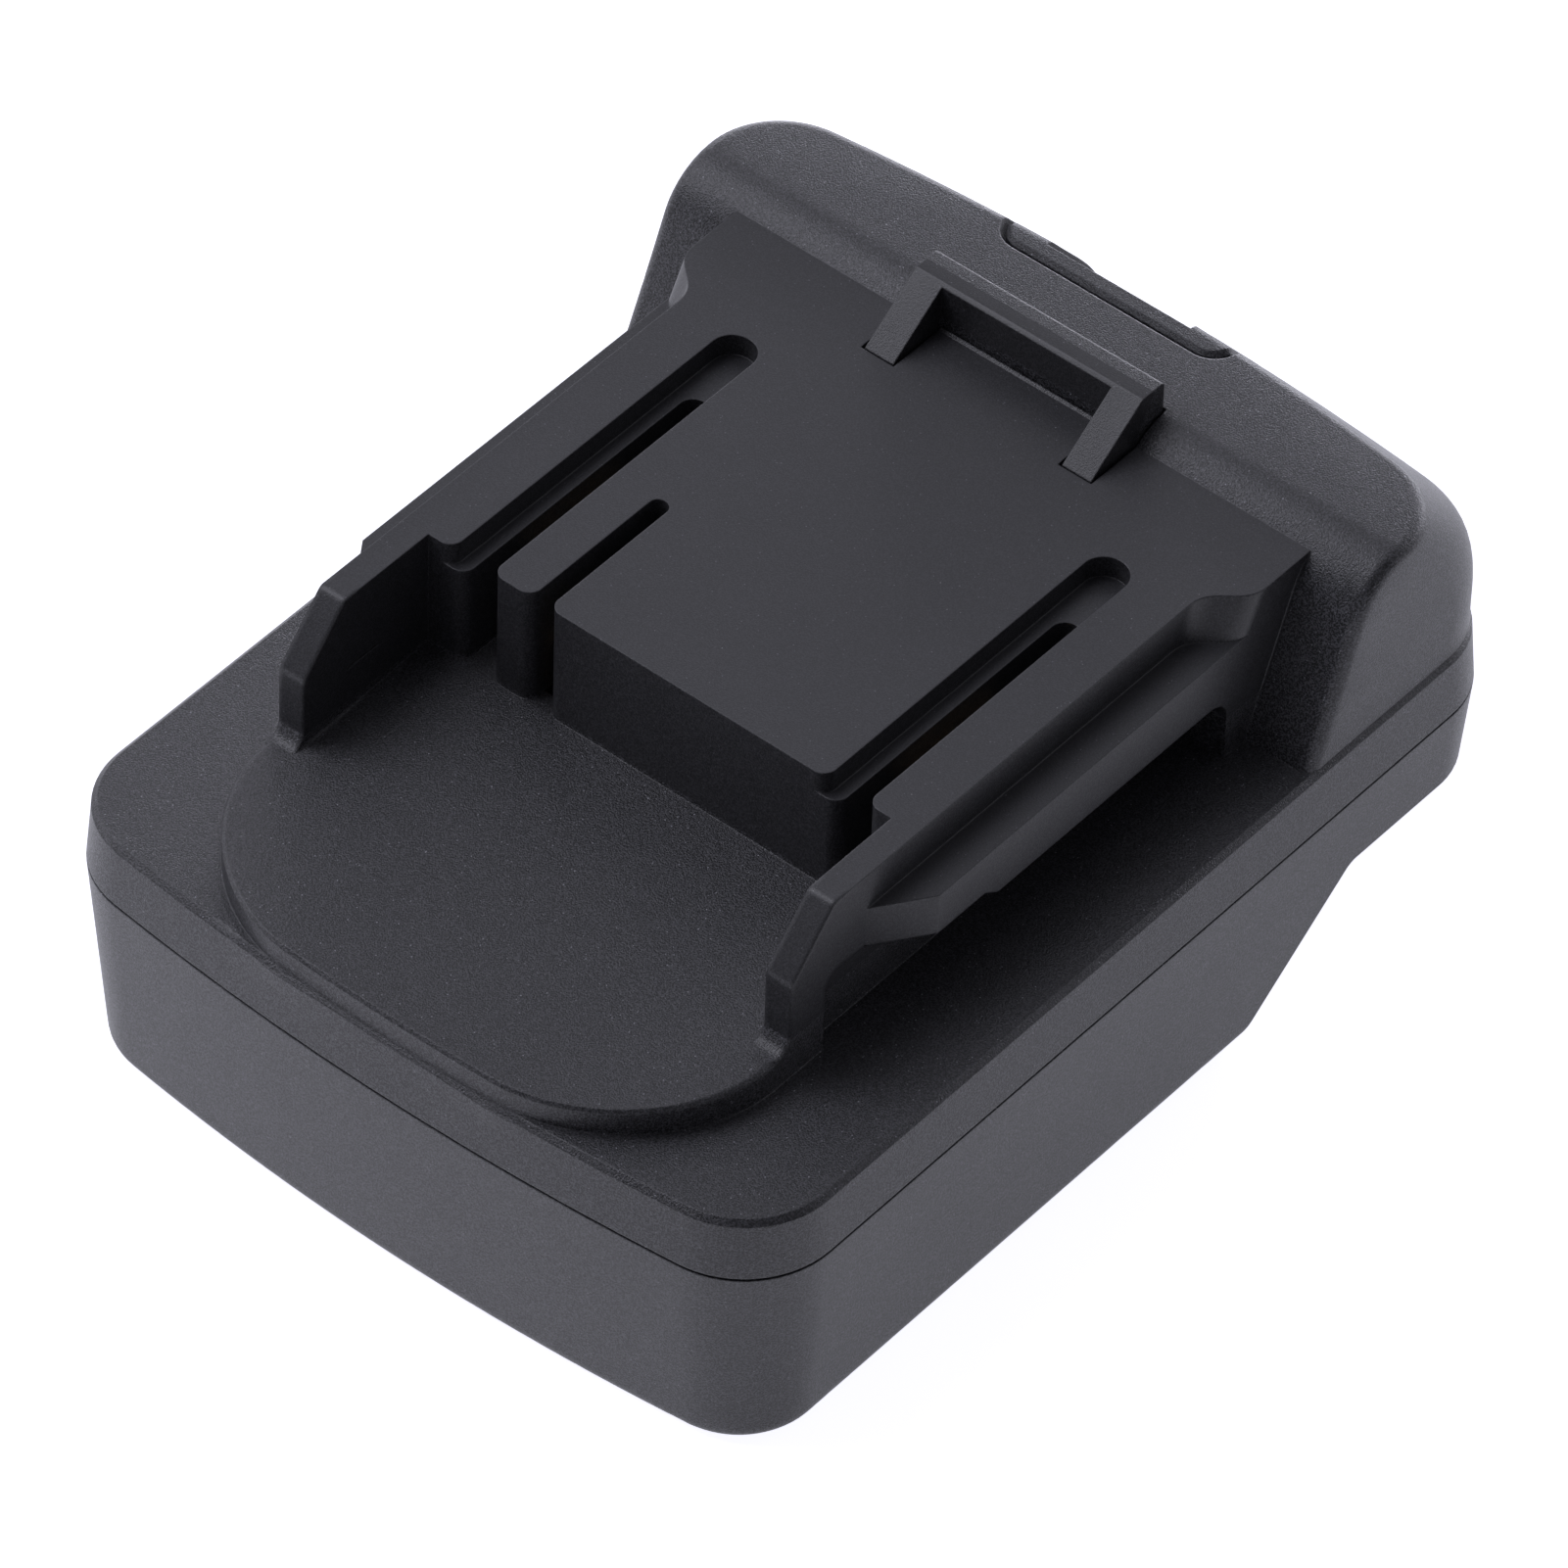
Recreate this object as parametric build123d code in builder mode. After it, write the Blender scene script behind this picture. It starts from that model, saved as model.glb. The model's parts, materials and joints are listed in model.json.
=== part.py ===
from build123d import *
from math import radians, tan
import os

# Slide-on adapter that puts another maker's battery pack on an 18 V tool.
# Millimetres, +Z up, +X across the width, +Y towards the release button.
# The origin is at the bottom centre of the bounding box.
# Stations run back from the front edge of the deck, heights up from the deck.

os.makedirs("parts", exist_ok=True)

# Overall body
overall_length = 107.0
seam_half_width = 40.0
front_at_seam = -0.5
rear_at_seam = front_at_seam + overall_length
body_depth = 22.2
band_height = 6.5
deck_height = body_depth + band_height
band_draft = 4.4
body_draft = 4.25
band_drawn_in = band_height * tan(radians(band_draft))
body_drawn_in = body_depth * tan(radians(body_draft))
front_bow = 2.85
rear_bow = 4.3
front_corner_radius = 9.6
rear_corner_radius = 8.9
band_edge_chamfer = 0.5
bottom_edge_radius = 2.2

# The hump fills the rear of the body, and the terminal block runs up to its foot
hump_length = 31.0
hump_foot = rear_at_seam - hump_length
block_front = 35.0
block_length = hump_foot - block_front

# Underside step from the deep front to the shallow rear, about the hump's foot
slant_lead = 7.2
slant_run = 14.0
shallow_height = 13.3
slant_inner_radius = 2.0
past_body = 15.0

# Seam and shadow lines
seam_gap = 0.25
seam_gap_depth = 0.4
shadow_gap = 0.3
shadow_gap_inset = 0.35

# Terminal block, rails and wings, heights above the deck
block_height = 16.9
block_tuck = 14.5
block_rear = hump_foot + block_tuck
lip_half_width = 28.4
ledge_height = 12.9
flange_reach = 3.6
flange_half_width = lip_half_width + flange_reach
flange_bottom = 7.2
flange_front_bottom = 8.4
flange_step_start = 40.0
flange_step_end = 41.8
flange_chamfer_start = 28.6
flange_chamfer_end = 33.8
scallop_lead = 6.5
scallop_length = 6.2
scallop_lean = 2.2
arch_radius = 2.5
arch_lead = 2.8
wing_thickness = 2.8
wing_inner_half_width = lip_half_width - wing_thickness
wing_nose_height = 11.0
wing_top_start = 24.3
wing_rear = 37.0
wing_underside = 8.6
wing_neck_radius = 1.7
wing_foot_radius = 1.7
wing_foot_margin = 0.1
wing_nose_radius = 1.4
wing_bend_radius = 0.9
web_thickness = 1.4
web_half_width = wing_inner_half_width + web_thickness
web_front = 23.4
lip_root_depth = 1.6
lip_root = wing_inner_half_width - lip_root_depth
core_overlap = 0.4
block_core_half_width = wing_inner_half_width + core_overlap

# D-shaped plate in front of the terminal block, as wide as the rails
plate_half_width = lip_half_width
plate_corner_radius = 17.2
plate_front_height = 2.5
plate_block_height = 4.2
plate_edge_chamfer = 0.3
plate_blank_height = 6.0
wing_front = plate_corner_radius + wing_foot_radius + wing_foot_margin

# Slots in the terminal block
guide_slot_offset = 20.7
guide_slot_width = 4.4
guide_slot_share = 0.901
guide_slot_depth = 2.3
blade_slot_offset = 0.7
blade_slot_width = 3.0
blade_slot_share = 0.736
signal_slot_x = -13.1
signal_slot_width = 1.9
signal_slot_share = 0.405
slot_floor = 4.2
slot_mouth_radius = 1.3
slot_headroom = 3.0
guide_slot_end = block_front + guide_slot_share * block_length
blade_slot_end = block_front + blade_slot_share * block_length
signal_slot_end = block_front + signal_slot_share * block_length

# Hump at the rear: its outline at each level, as shares of the sizes below
hump_height = 18.4
hump_side_setback = 0.7
hump_rear_setback = 0.6
hump_rear_lean = 8.6
hump_bow = 4.0
hump_level_shares = (0.0, 0.27, 0.46, 0.63, 0.82, 1.0)
hump_width_shares = (1.0, 0.997, 0.995, 0.994, 0.993, 0.991)
hump_lean_shares = (0.0, 0.04, 0.14, 0.35, 0.68, 1.0)
hump_bow_shares = (1.0, 0.88, 0.76, 0.66, 0.64, 0.76)
hump_corner_radius = 8.6
hump_front_slope_run = 7.36
hump_front_radius = 7.0
hump_edge_radius = 1.3
hump_blank_lead = 9.5
hump_blank_front = hump_foot - hump_blank_lead
hump_rear = rear_at_seam - hump_rear_setback
hump_half_width = seam_half_width - hump_side_setback

# Walls and hollows
wall = 2.4
deck_thickness = 2.2
rabbet_width = 1.3
rabbet_height = 1.3
rabbet_clearance = 0.1
rabbet_overrun = 0.3
block_hollow_left = -9.8
block_hollow_right = 17.0
block_front_wall = 3.0
block_rear_wall = 2.0
roof_thickness = 2.3
plate_hollow_half_width = 20.0
plate_hollow_front = 8.0
plate_hollow_rear = 32.0
plate_hollow_height = 0.8
hump_hollow_inner = 17.5
hump_hollow_outer = 34.0
hump_hollow_front = 10.5
hump_hollow_rear = 22.0
hump_hollow_height = 12.3
inner_corner_radius = 1.0

# Battery bay under the body, heights above the table
bay_half_width = 30.0
bay_mouth_half_width = 26.0
bay_rail_height = 5.5
bay_ceiling = 17.8
bay_front = 14.0
bay_wall = 2.2
bay_floor_top = bay_ceiling + bay_wall
catch_window_front = 50.0
catch_window_length = 8.0
catch_window_bottom = 8.7
catch_window_height = 7.0
hollow_floor = 2.4
slant_hollow_shift = 1.6

# Screws and bosses
front_screw_x = 34.2
front_screw_station = 11.0
rear_screw_x = 33.4
rear_screw_setback = 17.0
rear_screw_station = hump_foot + rear_screw_setback
boss_radius = 3.3
front_boss_foot = 1.2
rear_boss_foot = 14.5
upper_boss_top = 0.5
screw_shank_radius = 1.45
screw_head_radius = 2.5
screw_head_height = 2.0
screw_clearance = 0.1
screw_fit = 0.03
pilot_cover = 1.2
tip_clearance = 0.4
front_head_seat = 9.0
rear_head_seat = 15.7

# Release latch, stations measured back from the hump's foot
latch_hook_half_width = 12.6
latch_window_half_width = 9.4
hook_front = 1.9
hook_crest = 8.7
hook_rear = 11.6
hook_top = 21.7
hook_toe = 16.75
hook_edge_radius = 0.4
crossbar_front = 8.3
latch_gap = 0.25
carrier_half_width = 13.5
carrier_front = 1.5
carrier_rear = 15.9
carrier_top = 14.3
carrier_bottom = 8.0
bridge_half_width = 9.0
bridge_front = 11.5
bridge_rear = 21.5
bridge_bottom = 2.0
bridge_top = 11.6
button_half_width = 12.4
button_front = 19.4
button_corner_radius = 2.3
button_bottom = 4.4
button_gap = 0.6
button_edge_chamfer = 0.45
notch_front = button_front - button_gap
notch_half_width = button_half_width + button_gap
notch_corner_radius = 2.9
notch_floor = -1.2
scoop_half_width = 8.0
scoop_front = 20.8
scoop_knee = 23.1
scoop_knee_height = 12.4
scoop_rear = 30.1
scoop_rear_height = 7.4
scoop_lead_height = 19.4
scoop_floor_radius = 2.5
apron_half_width = 14.0
apron_front = 24.3
apron_rear = 26.7
apron_bottom = -0.9
apron_top = 7.4
latch_cavity_half_width = 14.6
latch_cavity_front = 0.5
latch_cavity_rear = 27.2
latch_cavity_roof = 16.1
tongue_underside = 14.6
cavity_roof_step = 8.1
cavity_slope_start = 19.7
cavity_slope_end_height = 8.4
guide_rib_clearance = 0.1
guide_rib_width = 1.6
front_rib_start = 2.9
rear_rib_start = 13.1
guide_rib_top = 14.0

# Latch springs and their seats
spring_x = 8.0
spring_start = 7.1
spring_radius = 2.7
spring_wire_radius = 0.3
spring_turns = 4
spring_wire_sides = 4
spring_pocket_radius = 3.4
spring_pocket_depth = 2.5
spring_seat = -1.0
spring_end_clearance = 0.05
spring_post_radius = 4.2
spring_pin_radius = 1.9
spring_pin_height = 4.5

# Contacts, their carrier and the battery blades
clip_front_share = 0.272
clip_length_share = 0.296
clip_end_clearance = 2.0
clip_half_width = 1.3
clip_thickness = 0.45
clip_base_thickness = 0.6
clip_shoulder_height = 2.2
clip_throat_height = 6.8
clip_throat_half_gap = 0.3
clip_top_height = 9.2
clip_top_half_gap = 0.75
clip_tail_half_width = 1.2
clip_tail_thickness = 0.6
clip_tail_bottom = -8.5
signal_clip_front_share = 0.074
signal_clip_length_share = 0.222
signal_clip_end_clearance = 1.0
signal_clip_half_width = 0.85
signal_clip_thickness = 0.3
signal_clip_throat_gap = 0.25
signal_clip_top_gap = 0.5
signal_tail_half_width = 0.8
signal_chamber_half_width = 1.05
clip_front = block_front + clip_front_share * block_length
clip_length = clip_length_share * block_length
signal_clip_front = block_front + signal_clip_front_share * block_length
signal_clip_length = signal_clip_length_share * block_length
carrier_plate_half_width = 25.0
carrier_plate_setback = 1.0
carrier_plate_overhang = 1.2
carrier_plate_front = block_front + carrier_plate_setback
carrier_plate_rear = blade_slot_end + carrier_plate_overhang
carrier_plate_bottom = -5.9
carrier_post_radius = 1.9
carrier_post_x = 16.2
tail_slot_margin = 0.1
blade_block_half_width = 22.5
blade_block_front = 9.0
blade_block_bottom = 5.7
blade_block_top = 17.2
nose_half_width = 19.8
nose_bottom = 7.9
nose_top = 15.5
nose_rear = 17.0
nose_clearance = 0.1
blade_thickness = 0.8
blade_bottom = 8.9
blade_top = 14.5
blade_front = 6.0
power_blade_rear = 31.0
signal_blade_rear = 27.0
power_blade_x = 15.0
signal_blade_x = -6.0
blade_tip_chamfer = 0.3

# Internal leads
lead_radius = 1.15
signal_lead_radius = 0.75
lead_sides = 6
lead_station = 7.4
lead_run_height = -7.3
lead_turn_station = 26.0
lead_rise_radius = 4.2
lead_bend_radius = 8.0


def station(from_front):
    """Y coordinate of a distance behind the front edge of the deck."""
    return from_front - (front_at_seam + overall_length / 2)


def hump_station(from_foot):
    """Y coordinate of a distance behind the foot of the hump."""
    return station(hump_foot + from_foot)


def deck(height):
    """Z coordinate of a height above the deck."""
    return deck_height + height


def body_outline(half_width, front, rear, bows, radii):
    """Closed outline of the body with bowed ends and rounded corners."""
    front_side = station(front + bows[0])
    rear_side = station(rear - bows[1])
    with BuildSketch() as outline:
        with BuildLine():
            ThreePointArc((-half_width, front_side), (0, station(front)), (half_width, front_side))
            Line((half_width, front_side), (half_width, rear_side))
            ThreePointArc((half_width, rear_side), (0, station(rear)), (-half_width, rear_side))
            Line((-half_width, rear_side), (-half_width, front_side))
        make_face()
        if radii[0]:
            fillet(outline.vertices().group_by(Axis.Y)[0], radius=radii[0])
        fillet(outline.vertices().group_by(Axis.Y)[-1], radius=radii[1])
    return outline.sketch


def inset_outline(inset):
    """The body outline at the seam, moved in by an even distance."""
    return body_outline(
        seam_half_width - inset,
        front_at_seam + inset,
        rear_at_seam - inset,
        (front_bow, rear_bow),
        (front_corner_radius - inset, rear_corner_radius - inset),
    )


def profile(points, rounded=(), origin=0):
    """Closed side profile of (station, height) points, with (index, radius) roundings."""
    corners = [(station(origin + along), deck(up)) for along, up in points]
    with BuildSketch() as face:
        with BuildLine():
            Polyline(*corners, close=True)
        make_face()
        for index, radius in rounded:
            fillet(face.vertices().sort_by_distance(corners[index])[0], radius=radius)
    return face.sketch


def block(x_span, station_span, height_span, mode=Mode.ADD, origin=0):
    """Box between two x, two stations and two heights above the deck."""
    corner = (x_span[0], station(origin + station_span[0]), deck(height_span[0]))
    with Locations(corner):
        Box(
            x_span[1] - x_span[0],
            station_span[1] - station_span[0],
            height_span[1] - height_span[0],
            align=(Align.MIN, Align.MIN, Align.MIN),
            mode=mode,
        )


def export(part, name):
    """Label a finished piece and write it as its own file."""
    part.label = name
    export_step(part, f"parts/{name}.step")


# Battery blades, made first because the blade block is moulded round them
blade_rears = {"positive": power_blade_rear, "signal": signal_blade_rear, "negative": power_blade_rear}
blade_places = {"positive": power_blade_x, "signal": signal_blade_x, "negative": -power_blade_x}
blades = {}
for pole, blade_x in blade_places.items():
    with BuildPart() as blade:
        block(
            (blade_x - blade_thickness / 2, blade_x + blade_thickness / 2),
            (blade_front, blade_rears[pole]),
            (blade_bottom - deck_height, blade_top - deck_height),
        )
        chamfer(blade.faces().sort_by(Axis.Y)[-1].edges(), length=blade_tip_chamfer)
    blades[pole] = blade.part
    export(blade.part, f"battery_blade_{pole}")


# Insulating block that holds the blades in the front wall of the bay
with BuildPart() as blade_block:
    block(
        (-blade_block_half_width, blade_block_half_width),
        (blade_block_front, bay_front - bay_wall),
        (blade_block_bottom - deck_height, blade_block_top - deck_height),
    )
    fillet(blade_block.edges().filter_by(Axis.Y), radius=inner_corner_radius)
    block(
        (-nose_half_width, nose_half_width),
        (bay_front - bay_wall, nose_rear),
        (nose_bottom - deck_height, nose_top - deck_height),
    )
    for pole in blades:
        add(blades[pole], mode=Mode.SUBTRACT)
export(blade_block.part, "blade_block")


# Hollow of the lower housing round the battery bay
with BuildPart() as lower_hollow:
    hollow_drawn_in = body_drawn_in * (1 - hollow_floor / body_depth)
    for level, drawn_in in ((hollow_floor, hollow_drawn_in), (body_depth, 0)):
        with BuildSketch(Plane.XY.offset(level)):
            add(inset_outline(wall + seam_gap_depth + drawn_in))
    loft()
    with BuildSketch(Plane.YZ):
        add(
            profile(
                [
                    (-slant_lead - slant_hollow_shift, -deck_height),
                    (slant_run - slant_lead - slant_hollow_shift, shallow_height + wall - deck_height),
                    (hump_length + past_body, shallow_height + wall - deck_height),
                    (hump_length + past_body, -deck_height - past_body),
                    (-slant_lead - slant_hollow_shift, -deck_height - past_body),
                ],
                origin=hump_foot,
            )
        )
    extrude(amount=seam_half_width, both=True, mode=Mode.SUBTRACT)
    block(
        (-bay_half_width - bay_wall, bay_half_width + bay_wall),
        (bay_front - bay_wall, rear_at_seam + past_body),
        (-deck_height, bay_floor_top - deck_height),
        Mode.SUBTRACT,
    )


# Lower housing
with BuildPart() as lower_housing:
    for level, drawn_in in ((0, body_drawn_in), (body_depth, 0)):
        with BuildSketch(Plane.XY.offset(level)):
            add(inset_outline(drawn_in))
    loft()
    fillet(lower_housing.faces().sort_by(Axis.Z)[0].edges(), radius=bottom_edge_radius)
    with BuildSketch(Plane.YZ):
        add(
            profile(
                [
                    (-slant_lead, -deck_height),
                    (slant_run - slant_lead, shallow_height - deck_height),
                    (hump_length + past_body, shallow_height - deck_height),
                    (hump_length + past_body, -deck_height - past_body),
                    (-slant_lead, -deck_height - past_body),
                ],
                rounded=[(1, slant_inner_radius)],
                origin=hump_foot,
            )
        )
    extrude(amount=seam_half_width + past_body, both=True, mode=Mode.SUBTRACT)
    # Locating rim that enters the upper housing
    with BuildSketch(Plane.XY.offset(body_depth)):
        add(inset_outline(wall - rabbet_width + rabbet_clearance + seam_gap_depth))
        add(inset_outline(wall + seam_gap_depth), mode=Mode.SUBTRACT)
    extrude(amount=rabbet_height - rabbet_clearance)
    add(lower_hollow.part, mode=Mode.SUBTRACT)
    # Battery bay, open at the bottom and at the rear, with a rail along each side
    bay_length = rear_at_seam + past_body
    block(
        (-bay_half_width, bay_half_width),
        (bay_front, bay_length),
        (bay_rail_height - deck_height, bay_ceiling - deck_height),
        Mode.SUBTRACT,
    )
    block(
        (-bay_mouth_half_width, bay_mouth_half_width),
        (bay_front, bay_length),
        (-deck_height, bay_rail_height - deck_height),
        Mode.SUBTRACT,
    )
    # Windows for the side catches of the battery pack
    block(
        (-bay_half_width - bay_wall - inner_corner_radius, bay_half_width + bay_wall + inner_corner_radius),
        (catch_window_front, catch_window_front + catch_window_length),
        (catch_window_bottom - deck_height, catch_window_bottom + catch_window_height - deck_height),
        Mode.SUBTRACT,
    )
    # Window for the nose of the blade block
    block(
        (-nose_half_width - nose_clearance, nose_half_width + nose_clearance),
        (bay_front - bay_wall, bay_front),
        (nose_bottom - nose_clearance - deck_height, nose_top + nose_clearance - deck_height),
        Mode.SUBTRACT,
    )
    # Spring seats with a guide pin on each
    with Locations(*[(side * spring_x, hump_station(spring_start), bay_floor_top) for side in (-1, 1)]):
        seat_height = deck(spring_seat) - bay_floor_top
        bottom_up = (Align.CENTER, Align.CENTER, Align.MIN)
        Cylinder(spring_post_radius, seat_height, align=bottom_up)
        Cylinder(spring_pin_radius, seat_height + spring_pin_height, align=bottom_up)
    # Posts under the corners of the contact carrier
    post_stations = (carrier_plate_front + carrier_post_radius, carrier_plate_rear - carrier_post_radius)
    with Locations(
        *[
            (side * carrier_post_x, station(along), bay_floor_top)
            for side in (-1, 1)
            for along in post_stations
        ]
    ):
        Cylinder(carrier_post_radius, deck(carrier_plate_bottom) - bay_floor_top, align=bottom_up)
    # Screw bosses, the clearance holes through them and the seats for the heads
    top_down = (Align.CENTER, Align.CENTER, Align.MAX)
    for boss_x, boss_station, head_seat, boss_foot in (
        (front_screw_x, front_screw_station, front_head_seat, front_boss_foot),
        (rear_screw_x, rear_screw_station, rear_head_seat, rear_boss_foot),
    ):
        with Locations(*[(side * boss_x, station(boss_station), body_depth) for side in (-1, 1)]):
            Cylinder(boss_radius, body_depth - boss_foot, align=top_down)
            Cylinder(
                screw_shank_radius + screw_clearance,
                body_depth,
                align=top_down,
                mode=Mode.SUBTRACT,
            )
        with Locations(*[(side * boss_x, station(boss_station), head_seat) for side in (-1, 1)]):
            Cylinder(
                screw_head_radius + screw_clearance,
                head_seat + past_body,
                align=top_down,
                mode=Mode.SUBTRACT,
            )
export(lower_housing.part, "lower_housing")


# Hump, as a blank that joins the upper housing
with BuildPart() as hump:
    for level_share, width_share, lean_share, bow_share in zip(
        hump_level_shares, hump_width_shares, hump_lean_shares, hump_bow_shares
    ):
        with BuildSketch(Plane.XY.offset(deck(level_share * hump_height))):
            add(
                body_outline(
                    width_share * hump_half_width,
                    hump_blank_front,
                    hump_rear - lean_share * hump_rear_lean,
                    (hump_bow, bow_share * hump_bow),
                    (0, hump_corner_radius),
                )
            )
    loft()
    with BuildSketch(Plane.YZ):
        add(
            profile(
                [
                    (-hump_front_slope_run, -hump_height),
                    (hump_front_slope_run, hump_height),
                    (hump_length, hump_height),
                    (hump_length, hump_height + past_body),
                    (-hump_blank_lead - past_body, hump_height + past_body),
                    (-hump_blank_lead - past_body, -hump_height),
                ],
                rounded=[(1, hump_front_radius)],
                origin=hump_foot,
            )
        )
    extrude(amount=seam_half_width, both=True, mode=Mode.SUBTRACT)
    # One rounding runs up the edges of the front slope and round the top
    top_face = hump.faces().sort_by(Axis.Z)[-1]
    slope_faces = hump.faces().filter_by(lambda face: face.normal_at().Y < 0).sort_by(Axis.Y)[:2]
    rim = top_face.edges() + slope_faces[0].edges() + slope_faces[1].edges()
    flat_ends = rim.filter_by(Axis.X)
    fillet(rim.filter_by(lambda edge: edge not in flat_ends), radius=hump_edge_radius)


# D-shaped plate, as a blank with its sloping top
with BuildPart() as front_plate:
    with BuildSketch(Plane.XY.offset(deck(-deck_thickness))) as plate_sketch:
        with BuildLine():
            Polyline(
                (-plate_half_width, station(0)),
                (plate_half_width, station(0)),
                (plate_half_width, station(web_front)),
                (web_half_width, station(web_front)),
                (web_half_width, station(block_front + wall)),
                (-web_half_width, station(block_front + wall)),
                (-web_half_width, station(web_front)),
                (-plate_half_width, station(web_front)),
                close=True,
            )
        make_face()
        fillet(plate_sketch.vertices().group_by(Axis.Y)[0], radius=plate_corner_radius)
    extrude(amount=deck_thickness + plate_blank_height)
    plate_slope = (plate_block_height - plate_front_height) / block_front
    with BuildSketch(Plane.YZ):
        add(
            profile(
                [
                    (-past_body, plate_front_height - plate_slope * past_body),
                    (block_front + past_body, plate_block_height + plate_slope * past_body),
                    (block_front + past_body, past_body),
                    (-past_body, past_body),
                ]
            )
        )
    extrude(amount=seam_half_width, both=True, mode=Mode.SUBTRACT)
    plate_top = front_plate.faces().sort_by(Axis.Z)[-1]
    rim_end = station(web_front) - plate_edge_chamfer
    chamfer(plate_top.edges().filter_by(lambda edge: edge.center().Y < rim_end), length=plate_edge_chamfer)


# Right-hand rail: wing, lip with its flared rear end, flange and web, mirrored later
with BuildPart() as rail:
    foot_height = plate_front_height + plate_slope * plate_corner_radius
    with BuildSketch(Plane.YZ.offset(wing_inner_half_width)):
        add(
            profile(
                [
                    (plate_corner_radius, 0),
                    (plate_corner_radius, foot_height),
                    (wing_front, foot_height),
                    (wing_front, wing_nose_height),
                    (wing_top_start, block_height),
                    (wing_rear, block_height),
                    (wing_rear, wing_underside),
                    (web_front, wing_underside),
                    (web_front, 0),
                ],
                rounded=[
                    (2, wing_foot_radius),
                    (3, wing_nose_radius),
                    (4, wing_bend_radius),
                    (7, wing_neck_radius),
                ],
            )
        )
    extrude(amount=wing_thickness)
    scallop_start = hump_foot - scallop_lead
    for level, flare_start in ((ledge_height, scallop_start), (block_height, scallop_start + scallop_lean)):
        flare_end = flare_start + scallop_length
        with BuildSketch(Plane.XY.offset(deck(level))):
            with BuildLine():
                Line((lip_root, station(block_front)), (lip_half_width, station(block_front)))
                Line((lip_half_width, station(block_front)), (lip_half_width, station(flare_start)))
                Spline(
                    (lip_half_width, station(flare_start)),
                    (flange_half_width, station(flare_end)),
                    tangents=[(0, 1), (0, 1)],
                )
                Line((flange_half_width, station(flare_end)), (flange_half_width, station(block_rear)))
                Line((flange_half_width, station(block_rear)), (lip_root, station(block_rear)))
                Line((lip_root, station(block_rear)), (lip_root, station(block_front)))
            make_face()
    loft(ruled=True)
    # Flange under the lip, with its chamfered front end, stepped underside and rear arch
    arch_rear = hump_foot - arch_lead
    with BuildSketch(Plane.YZ.offset(wing_inner_half_width)):
        add(
            profile(
                [
                    (wing_rear, flange_front_bottom),
                    (wing_rear, ledge_height),
                    (block_rear, ledge_height),
                    (block_rear, 0),
                    (arch_rear, 0),
                    (arch_rear, flange_bottom),
                    (flange_step_end, flange_bottom),
                    (flange_step_start, flange_front_bottom),
                ],
                rounded=[(5, arch_radius)],
            )
        )
    extrude(amount=flange_half_width - wing_inner_half_width)
    with BuildSketch(Plane.XY.offset(deck(flange_front_bottom))):
        with BuildLine():
            Polyline(
                (wing_inner_half_width, station(flange_chamfer_start)),
                (lip_half_width, station(flange_chamfer_start)),
                (flange_half_width, station(flange_chamfer_end)),
                (flange_half_width, station(wing_rear)),
                (wing_inner_half_width, station(wing_rear)),
                close=True,
            )
        make_face()
    extrude(amount=ledge_height - flange_front_bottom)
    block(
        (wing_inner_half_width, web_half_width),
        (web_front, block_rear),
        (0, flange_front_bottom),
    )


def slot_outline(centre_x, width, end):
    """Plan of a slot with a rounded mouth at the block front and a round end."""
    half = width / 2
    mouth = half + slot_mouth_radius
    front = station(block_front)
    left_end = (centre_x - half, station(end) - half)
    right_end = (centre_x + half, station(end) - half)
    with BuildSketch() as outline:
        with BuildLine():
            Line(left_end, (centre_x - half, front + slot_mouth_radius))
            TangentArc(
                (centre_x - half, front + slot_mouth_radius), (centre_x - mouth, front), tangent=(0, -1)
            )
            Polyline(
                (centre_x - mouth, front),
                (centre_x - mouth, front - slot_mouth_radius),
                (centre_x + mouth, front - slot_mouth_radius),
                (centre_x + mouth, front),
            )
            TangentArc(
                (centre_x + mouth, front), (centre_x + half, front + slot_mouth_radius), tangent=(-1, 0)
            )
            Line((centre_x + half, front + slot_mouth_radius), right_end)
            ThreePointArc(right_end, (centre_x, station(end)), left_end)
        make_face()
    return outline.sketch


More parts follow.
